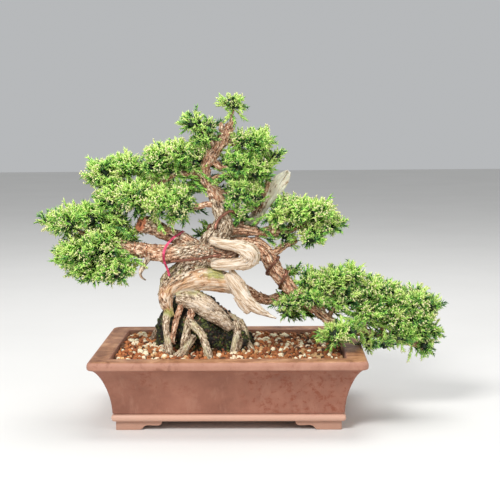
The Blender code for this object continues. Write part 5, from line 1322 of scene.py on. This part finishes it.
def lump_template(draw):
    """An angular grain: a cube with its edges cut off and its corners pushed about."""
    shape = bmesh.new()
    bmesh.ops.create_cube(shape, size=1.5)
    bmesh.ops.bevel(
        shape, geom=shape.edges[:], offset=0.36, segments=1, profile=0.5, affect="EDGES", material=-1,
    )
    for vert in shape.verts:
        vert.co += jumble(draw, 0.16)
    return mesh_of(shape, "lump")


def scatter(shape, layer, template, matrix, colour):
    for vert in add_copy(shape, template, matrix):
        vert[layer] = (*colour, 1.0)


def soil_height(x, y):
    """The surface rises a little from the rim towards the roots."""
    away = math.hypot((x - MOUND_CENTRE[0]) / HEAP_LENGTH, (y - MOUND_CENTRE[1]) / HEAP_DEPTH)
    return SOIL_EDGE + SOIL_RISE * max(0.0, 1.0 - away) ** 0.7


def in_bed(x, y, inset):
    """Whether a point lies inside the soil's outline, a rounded rectangle."""
    half_x, half_y = RIM_LENGTH / 2 - inset, RIM_DEPTH / 2 - inset
    radius = 3.0
    over_x, over_y = max(abs(x) - half_x + radius, 0.0), max(abs(y) - half_y + radius, 0.0)
    return math.hypot(over_x, over_y) < radius


def grain_colour(draw, x):
    """Pumice, akadama and dark grit; all but the pumice are paler towards the bed's left end."""
    pick = draw.random()
    light = draw.uniform(0.7, 1.15) * (0.95 - 0.0016 * x)
    if pick < GRAINS[0][0]:
        light = draw.uniform(0.9, 1.1)
    base = next(colour for share, colour in GRAINS if pick < share)
    return tuple(min(1.0, value * light) for value in base)


def turned(draw):
    return Matrix.Rotation(draw.uniform(0, math.tau), 4, jumble(draw, 1).normalized())


def lump_sizes(draw, radius, least):
    return sized(*(radius * draw.uniform(least, 1.2) for _ in range(3)))


def make_soil(material):
    """A block that fills the pot, and loose grains over its top."""
    draw = random.Random(21)
    shape = bmesh.new()
    layer = shape.verts.layers.float_color.new("tint")
    half_x, half_y = RIM_LENGTH / 2 - SOIL_INSET, RIM_DEPTH / 2 - SOIL_INSET
    bmesh.ops.create_grid(shape, x_segments=60, y_segments=38, size=1.0)
    for vert in shape.verts:
        x, y = vert.co.x * half_x, vert.co.y * half_y
        z = soil_height(x, y) - 1.6 + 0.7 * noise.noise((x * 0.2, y * 0.2, 0.0))
        vert.co = (x, y, z)
        vert[layer] = (*GAP_SHADE_SOIL, 1.0)
    edge = [item for item in shape.edges if item.is_boundary]
    for z, wall in SOIL_STEPS:
        grown = bmesh.ops.extrude_edge_only(shape, edges=edge)["geom"]
        edge = [item for item in grown if isinstance(item, bmesh.types.BMEdge)]
        scale_x, scale_y = (RIM_LENGTH / 2 - wall) / half_x, (RIM_DEPTH / 2 - wall) / half_y
        for vert in {vert for item in edge for vert in item.verts}:
            vert.co = (vert.co.x * scale_x, vert.co.y * scale_y, z)
        half_x, half_y = RIM_LENGTH / 2 - wall, RIM_DEPTH / 2 - wall
    bmesh.ops.contextual_create(shape, geom=edge)
    bmesh.ops.recalc_face_normals(shape, faces=shape.faces)

    lumps = [lump_template(draw) for _ in range(6)]
    mx, my, _ = MOUND_CENTRE
    columns, rows = int(BED_LENGTH / GRAIN_PITCH), int(BED_DEPTH / GRAIN_PITCH)
    for column in range(columns + 1):
        for row in range(rows + 1):
            x = (column / columns - 0.5) * BED_LENGTH + draw.uniform(-1.8, 1.8)
            y = (row / rows - 0.5) * BED_DEPTH + draw.uniform(-1.8, 1.8)
            if math.hypot((x - mx) / (MOUND_RADII[0] * 0.82), (y - my) / (MOUND_RADII[1] * 0.8)) < 1.0:
                continue
            radius = draw.choice(GRAIN_RADII)
            if not in_bed(x, y, GRAINS_INSET + radius * 0.9):
                continue
            z = soil_height(x, y) - 0.8 + draw.uniform(-0.8, 1.4)
            colour = grain_colour(draw, x)
            radius *= PUMICE_SIZE if colour[2] > 0.3 else 1.0
            sizes = lump_sizes(draw, radius, 0.75)
            spot = Matrix.Translation((x, y, z)) @ turned(draw) @ sizes
            scatter(shape, layer, draw.choice(lumps), spot, colour)
    finished("soil_grains", shape, material, "grains", "soil", sharp=50)
    discard(lumps)


def mound_shape():
    """The lump under the roots, bedded in the soil."""
    shape = bmesh.new()
    made = bmesh.ops.create_icosphere(shape, subdivisions=6, radius=1.0)["verts"]
    shift = Vector((12.4, 6.8, 21.2))
    base = MOUND_CENTRE[2]
    for vert in made:
        swell = 1.0 + 0.32 * noise.noise(vert.co * 1.9 + shift)
        spot = Vector([m + c * swell * r for m, c, r in zip(MOUND_CENTRE, vert.co, MOUND_RADII)])
        push = 1.6 * noise.noise(spot * 0.12) + 1.3 * noise.noise(spot * 0.33) + 0.6 * noise.noise(spot * 0.9)
        spot += vert.co.normalized() * (push - 1.0)
        if spot.z < base:
            spot.z = base + (spot.z - base) * 0.2
        else:
            away = [(spot[axis] - SHOULDER[axis]) / SHOULDER_WIDTHS[axis] for axis in (0, 1)]
            raised = SHOULDER_HEIGHT * math.exp(-(away[0] ** 2) - away[1] ** 2)
            spot.z += raised * smoothstep(base, base + 25, spot.z)
            spot.x -= 4 * smoothstep(-40, -80, spot.x)
        vert.co = spot
    return shape


def make_mound(material, wood_material):
    """The lump with crumbs of muck and moss on it, and fine roots."""
    draw = random.Random(31)
    shape = mound_shape()
    layer = shape.verts.layers.float_color.new("tint")
    for vert in shape.verts:
        vert[layer] = (0.02, 0.017, 0.009, 0.0)
    skin = BVHTree.FromBMesh(shape)
    lumps = [lump_template(draw) for _ in range(4)]
    middle = Vector((MOUND_CENTRE[0], MOUND_CENTRE[1], MOUND_CENTRE[2] + 4))
    for _ in range(MUCK_CRUMBS):
        way = Vector((draw.gauss(0, 1), draw.gauss(0, 1), abs(draw.gauss(0, 0.7)) - 0.05)).normalized()
        spot, normal, _, _ = skin.ray_cast(middle + way * 120, -way)
        if spot is None:
            continue
        radius = draw.uniform(0.7, 2.4)
        colour = draw.choice(MUCK_AND_SHADE_COLOURS)
        if spot.z < 84 and draw.random() < 0.35:
            colour = grain_colour(draw, spot.x)
        sizes, lump = lump_sizes(draw, radius, 0.7), draw.choice(lumps)
        stand = Matrix.Translation(spot + normal * 0.2) @ turned(draw) @ sizes
        scatter(shape, layer, lump, stand, colour)
    finished("moss_and_muck", shape, material, "moss", "moss_mound")
    discard(lumps)
    make_rootlets(wood_material, skin, draw)


def make_rootlets(material, skin, draw):
    """Thin red-brown roots that creep down over the lump."""
    whole = bmesh.new()
    bark_layers(whole)
    for _ in range(ROOTLETS):
        turn = draw.uniform(math.pi, math.tau) if draw.random() < FRONT_SHARE else draw.uniform(0, math.tau)
        x0 = MOUND_CENTRE[0] + math.cos(turn) * ROOTLET_RING[0]
        y0 = MOUND_CENTRE[1] + math.sin(turn) * ROOTLET_RING[1]
        way = Vector((math.cos(turn), math.sin(turn) * 0.8, 0.0))
        route = []
        spot = Vector((x0 + draw.uniform(-12, 12), y0 + draw.uniform(-8, 8), ABOVE_MOUND))
        drift = draw.uniform(-1.3, 1.3)
        for _ in range(draw.randint(7, 15)):
            hit, normal, _, _ = skin.ray_cast(Vector((spot.x, spot.y, ABOVE_MOUND)), Vector((0, 0, -1)))
            if hit is None or hit.z < SOIL_EDGE + 0.5:
                break
            route.append(hit + normal * draw.uniform(0.1, 0.9))
            side = Vector((-way.y, way.x, 0.0)) * (drift + draw.uniform(-0.9, 0.9))
            spot = spot + (way + side).normalized() * draw.uniform(1.8, 3.0)
        if len(route) < 4:
            continue
        smooth = curve_through(route, 2)
        width = draw.uniform(0.35, 1.1)
        radii = [width * (1.0 - 0.6 * index / len(smooth)) for index in range(len(smooth))]
        tube = sweep(smooth, radii, 5)
        grain_layer, wear_and_shade_layer = bark_layers(tube)
        tone = draw.choice(((0.0, 1.0, 0.0, 0.0), (0.1, 0.9, 0.0, 0.1), (0.35, 0.6, 0.1, 0.1)))
        for vert in tube.verts:
            vert[grain_layer] = vert.co
            vert[wear_and_shade_layer] = tone
        join(whole, tube)
    finished("rootlets", whole, material, "bark")


# Pot

def rounded_ring(shape, half_x, half_y, radius, z, steps=7):
    """Vertices of a rounded rectangle, made from a circle whose quarters are pulled apart."""
    ring = bmesh.ops.create_circle(shape, segments=4 * (steps + 1), radius=1.0)["verts"]
    for index, vert in enumerate(ring):
        quarter, step = divmod(index, steps + 1)
        angle = math.radians(90) * (quarter + step / steps)
        sx, sy = ((1, 1), (-1, 1), (-1, -1), (1, -1))[quarter]
        x = sx * (half_x - radius) + radius * math.cos(angle)
        vert.co = (x, sy * (half_y - radius) + radius * math.sin(angle), z)
    return ring


def pot_profile():
    """Inset and height, from the underside up the outer wall, over the rim and down into the pot."""
    rows = [(BAND_INSET + 4.0, BAND_BOTTOM)]
    middle, half = (BAND_TOP + BAND_BOTTOM) / 2, (BAND_TOP - BAND_BOTTOM) / 2
    for step in range(11):
        angle = math.radians(90 - 18 * step)
        rows.append((BAND_INSET + BAND_BULGE * (1 - math.cos(angle)), middle - half * math.sin(angle)))
    rows.append((WALL_INSET + 1.5, BAND_TOP + 0.5))
    bottom, top = BAND_TOP + 1.6, POT_HEIGHT - LIP_HEIGHT
    for step in range(15):
        share = math.sin(math.radians(90) * (14 - step) / 14)
        rise = (1 - share**CAVETTO_POWER) ** (1 / CAVETTO_POWER)
        rows.append((1.0 + (WALL_INSET - 1.0) * share, bottom + (top - bottom) * rise))
    rows += [(0.45, top + 0.4), (0.1, top + 1.3), (0.0, top + 2.6)]
    for step in range(8):
        angle = math.radians(90) * step / 7
        rise = LIP_ROUNDING_HEIGHT * (math.sin(angle) - 1)
        rows.append((LIP_ROUNDING * (1 - math.cos(angle)), POT_HEIGHT + rise))
    rows.append((9.0, POT_HEIGHT - 0.25))
    inner_edge = ((3.0, 0.15), (1.4, 0.3), (0.4, 1.0), (0.0, 2.4))
    rows += [(RIM_LAND - run, POT_HEIGHT - drop) for run, drop in inner_edge]
    return rows + [(24.0, 62.0), (29.0, 42.0), (31.5, FLOOR_TOP)]


def cloud_outline(length):
    """Lower edge of a foot: flat near the corner, then a scroll of two lobes."""
    flat = length * 0.48
    top = BAND_BOTTOM + 2.0
    scroll = ((0.0, 0.0), (2.0, 0.25), (4.2, 1.2), (5.6, 3.0), (7.4, 4.5), (10.0, 5.1))
    end = ((-7.0, 4.7), (-4.0, 4.9), (-1.6, 5.9), (-0.3, 7.6), (0.0, top))
    return [(0.0, top), (0.0, 0.0), *((flat + u, z) for u, z in scroll), *((length + u, z) for u, z in end)]


def foot_arm(length, along_x, sign_x, sign_y):
    """One arm of a corner foot: its outline raised into a plate with soft edges."""
    shape = bmesh.new()
    verts = [shape.verts.new((u, 0.0, z)) for u, z in cloud_outline(length)]
    face = shape.faces.new(verts)
    raised = bmesh.ops.extrude_face_region(shape, geom=[face])
    moved = [item for item in raised["geom"] if isinstance(item, bmesh.types.BMVert)]
    bmesh.ops.translate(shape, verts=moved, vec=(0.0, FOOT_THICKNESS, 0.0))
    bmesh.ops.bevel(
        shape, geom=[edge for edge in shape.edges if abs(edge.verts[0].co.y - edge.verts[1].co.y) < 0.01],
        offset=0.7, segments=2, profile=0.5, affect="EDGES", material=-1,
    )
    if not along_x:
        bmesh.ops.rotate(shape, verts=shape.verts, matrix=Matrix.Rotation(math.radians(90), 3, "Z"))
        bmesh.ops.scale(shape, verts=shape.verts, vec=(-1.0, 1.0, 1.0))
    corner = (FOOT_INSET - RIM_LENGTH / 2, FOOT_INSET - RIM_DEPTH / 2, 0.0)
    bmesh.ops.translate(shape, verts=shape.verts, vec=corner)
    along = (ARM_SHIFT, 0.0, 0.0) if along_x else (0.0, ARM_SHIFT, 0.0)
    bmesh.ops.translate(shape, verts=shape.verts, vec=along)
    bmesh.ops.scale(shape, verts=shape.verts, vec=(-sign_x, -sign_y, 1.0))
    bmesh.ops.recalc_face_normals(shape, faces=shape.faces)
    return shape


def make_pot(material):
    shape = bmesh.new()
    rings = []
    for inset, z in pot_profile():
        radius = max(RIM_CORNER - inset * 0.35, 3.0)
        rings.append(rounded_ring(shape, RIM_LENGTH / 2 - inset, RIM_DEPTH / 2 - inset, radius, z))
    for below, above in zip(rings, rings[1:]):
        for index in range(len(below)):
            after = (index + 1) % len(below)
            shape.faces.new((below[index], below[after], above[after], above[index]))
    shape.faces.new(rings[0])
    shape.faces.new(rings[-1])
    bmesh.ops.recalc_face_normals(shape, faces=shape.faces)
    pot = placed("spare_pot", mesh_of(shape, "spare_pot"))
    spares = []
    for sign_x in (-1, 1):
        for sign_y in (-1, 1):
            for length, along_x in ((FOOT_LENGTH_FRONT, True), (FOOT_LENGTH_SIDE, False)):
                spares.append((foot_arm(length, along_x, sign_x, sign_y), "UNION"))
    for sign in (-1, 1):
        bore = bmesh.new()
        bmesh.ops.create_cone(
            bore, cap_ends=True, segments=40, radius1=DRAIN_RADIUS, radius2=DRAIN_RADIUS, depth=20.0,
        )
        bmesh.ops.translate(bore, verts=bore.verts, vec=(sign * DRAIN_X, 0.0, BAND_BOTTOM + 3))
        spares.append((bore, "DIFFERENCE"))
    for other, operation in spares:
        change = pot.modifiers.new(operation.title(), "BOOLEAN")
        change.operation = operation
        change.object = placed("spare", mesh_of(other, "spare"))
    whole = evaluated(pot)
    for thing in (*(change.object for change in pot.modifiers), pot):
        bpy.data.objects.remove(thing, do_unlink=True)
    for vert in whole.verts:
        if vert.co.z > BAND_BOTTOM + 1.8:
            wave = noise.noise((vert.co.x * 0.02, vert.co.y * 0.02, vert.co.z * 0.03))
            vert.co += Vector((vert.co.x * 0.0006, vert.co.y * 0.0006, 0.12)) * wave
    finished("clay_pot", whole, material, "clay", "pot", sharp=35)


# Wires and the tie

def pushed_clear(point, skin, distance):
    """The point, moved outwards until it lies this far from the wood."""
    for _ in range(12):
        spot, normal, _, away = skin.find_nearest(point)
        inside = (point - spot).dot(normal) < 0
        if not inside and away >= distance:
            break
        point = spot + normal * (distance + 0.02)
    return point


def settle(route, distance, skin, rounds):
    """Smooths a wire's route and lays it on the wood, by turns."""
    for _ in range(rounds):
        middle = [(a + 2 * b + c) / 4 for a, b, c in zip(route, route[1:], route[2:])]
        route = [pushed_clear(point, skin, distance) for point in (route[0], *middle, route[-1])]
    return route


def laid(points, steps, distance, skin, rounds):
    """A route through the points, settled on the wood."""
    return settle([p.to_3d() for p in curve_through(points, steps)], distance, skin, rounds)


def coil(limb, start, end, turns, phase, radius, skin):
    """Points of a wire wound on a limb, between two of the limb's own points, from its first angle."""
    fine = 12
    line = curve_through(LIMBS[limb], fine)
    steps = round(turns * math.tau / WIRE_STEP)
    side = None
    route = []
    for step in range(steps + 1):
        along = (start + (end - start) * step / steps) * fine
        index = min(int(along), len(line) - 2)
        middle = line[index].lerp(line[index + 1], along - index)
        way = (line[index + 1] - line[index]).to_3d().normalized()
        side = way.orthogonal().normalized() if side is None else side
        side = (side - way * side.dot(way)).normalized()
        angle = math.radians(phase) + step * WIRE_STEP
        out = side * math.cos(angle) + way.cross(side) * math.sin(angle)
        hit, _, _, away = skin.ray_cast(middle.to_3d(), out, middle[3] * 1.6)
        route.append(middle.to_3d() + out * ((away if hit is not None else middle[3]) + radius * 0.9))
    return settle(route, radius * WIRE_CLEARANCE, skin, 5)


def make_wires(skin, aluminium, copper, plastic):
    """The ring round the trunk, two coils, the run along the crevice, and the tie."""
    ring = laid(RING_ROUTE, 4, RING_WIRE_RADIUS * WIRE_CLEARANCE, skin, 4)
    right = coil("right_branch", 2.8, 6.2, 2.2, 0.0, WIRE_RADIUS, skin)
    left = coil("left_branch", 4.4, 6.5, 2.3, 100.0, THIN_WIRE_RADIUS, skin)
    crevice = laid(CREVICE_WIRE, 4, WIRE_RADIUS * WIRE_CLEARANCE, skin, 3)
    for name, node, route, radius, material, slot in (
        ("wire_trunk_coil", "wire_trunk", ring, RING_WIRE_RADIUS, aluminium, "aluminium"),
        ("wire_right_branch_coil", "wire_right_branch", right, WIRE_RADIUS, aluminium, "aluminium"),
        ("wire_left_branch_coil", "wire_left_branch", left, THIN_WIRE_RADIUS, copper, "copper"),
        ("wire_crevice_run", "wire_crevice", crevice, WIRE_RADIUS, aluminium, "aluminium"),
    ):
        wire = sweep(curve_through(route, 2), [radius] * (2 * len(route) - 1), WIRE_SIDES)
        finished(name, wire, material, slot, node)
    route = laid(TIE_ROUTE, 6, TIE_CLEARANCE, skin, 3)
    outs = [(point - skin.find_nearest(point)[0]).normalized() for point in route]
    for _ in range(4):
        outs = [(a + b + c).normalized() for a, b, c in zip([outs[0], *outs], outs, [*outs[1:], outs[-1]])]
    widths = [TIE_HALF_WIDTH - TIE_TAPER * index / len(route) for index in range(len(route))]
    strip = sweep(route, widths, WIRE_SIDES, outs=outs, flat=TIE_FLATTENED)
    finished("plastic_tie", strip, plastic, "strap", "tie")


# The scene

def light(name, size, power, place, aim):
    lamp = bpy.data.lights.new(name, "AREA")
    lamp.shape = "RECTANGLE"
    lamp.size, lamp.size_y = size
    lamp.energy = power
    made = placed(name, lamp)
    made.location = place
    made.rotation_euler = (Vector(aim) - Vector(place)).to_track_quat("-Z", "Y").to_euler()


def make_studio():
    floor = bmesh.new()
    bmesh.ops.create_grid(floor, x_segments=1, y_segments=1, size=6.0)
    mesh = mesh_of(floor, "floor")
    pale = Finish("Pale floor", Roughness=0.9)
    cloud = pale.noise(pale.place(), 3.0)
    pale.colour(pale.ramp(cloud, (0.3, (0.72, 0.71, 0.69)), (0.7, (0.75, 0.74, 0.72))))
    mesh.materials.append(pale.material)
    ground = placed("floor", mesh)
    ground.location.z = pot_low.z
    ground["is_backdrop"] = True
    world = bpy.data.worlds.new("Studio")
    world.use_nodes = True
    sky = world.node_tree.nodes["Background"].inputs
    sky["Color"].default_value = (0.86, 0.88, 0.9, 1.0)
    sky["Strength"].default_value = 0.55
    bpy.context.scene.world = world
    light("key", (0.8, 0.6), 42.0, (-0.9, -1.5, 1.7), (0.0, 0.0, 0.15))
    light("fill", (1.4, 1.4), 10.0, (1.5, -1.2, 0.9), (0.0, 0.0, 0.15))
    light("top", (1.0, 1.0), 17.0, (0.1, 0.4, 1.9), (0.0, 0.0, 0.1))
    bpy.context.scene.view_settings.view_transform = "Standard"


def make_camera():
    """The photograph's view: turned a little to the left, tipped down, and rolled by half a degree."""
    yaw, pitch, roll = (math.radians(angle) for angle in (CAMERA_YAW, CAMERA_PITCH, CAMERA_ROLL))
    ahead = Vector((-math.sin(yaw), math.cos(yaw), 0.0))
    right = Vector((math.cos(yaw), math.sin(yaw), 0.0))
    up = ahead * math.sin(pitch) + Vector((0, 0, math.cos(pitch)))
    look = ahead * math.cos(pitch) - Vector((0, 0, math.sin(pitch)))
    side = right * math.cos(roll) - up * math.sin(roll)
    top = right * math.sin(roll) + up * math.cos(roll)
    lens = bpy.data.cameras.new("camera")
    lens.sensor_width = 36.0
    lens.lens = lens.sensor_width / 2 / math.tan(math.radians(FIELD_OF_VIEW / 2))
    camera = placed("camera", lens)
    turn = Matrix((side, top, -look)).transposed().to_4x4()
    camera.matrix_world = Matrix.Translation(POT_MIDDLE + Vector(CAMERA_PLACE)) @ turn
    bpy.context.scene.camera = camera


def main():
    bark = wood_finish()
    make_pot(clay_finish())
    make_soil(grain_finish())
    make_mound(muck_finish(), bark)
    skin = make_wood(bark)
    aluminium = wire_finish("Brown aluminium wire", (0.26, 0.11, 0.07), 0.42, 0.6)
    copper = wire_finish("Copper wire", (0.55, 0.27, 0.17), 0.4, 0.7)
    make_wires(skin, aluminium, copper, strap_finish())
    make_flakes(bark, skin)
    make_foliage(foliage_finish())
    screen, clip = screen_finish(), wire_finish("Clip wire", (0.5, 0.45, 0.4), 0.4, 1.0)
    hidden = {"drain_screen": screen, "screen_clip": clip}
    for name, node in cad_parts.items():
        for start, material in hidden.items():
            if name.startswith(start):
                node.data.materials.clear()
                node.data.materials.append(material)
    make_studio()
    make_camera()


main()
boxes = {name: [list(corner) for corner in box] for name, box in (("cad", model_box), ("visual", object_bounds()))}
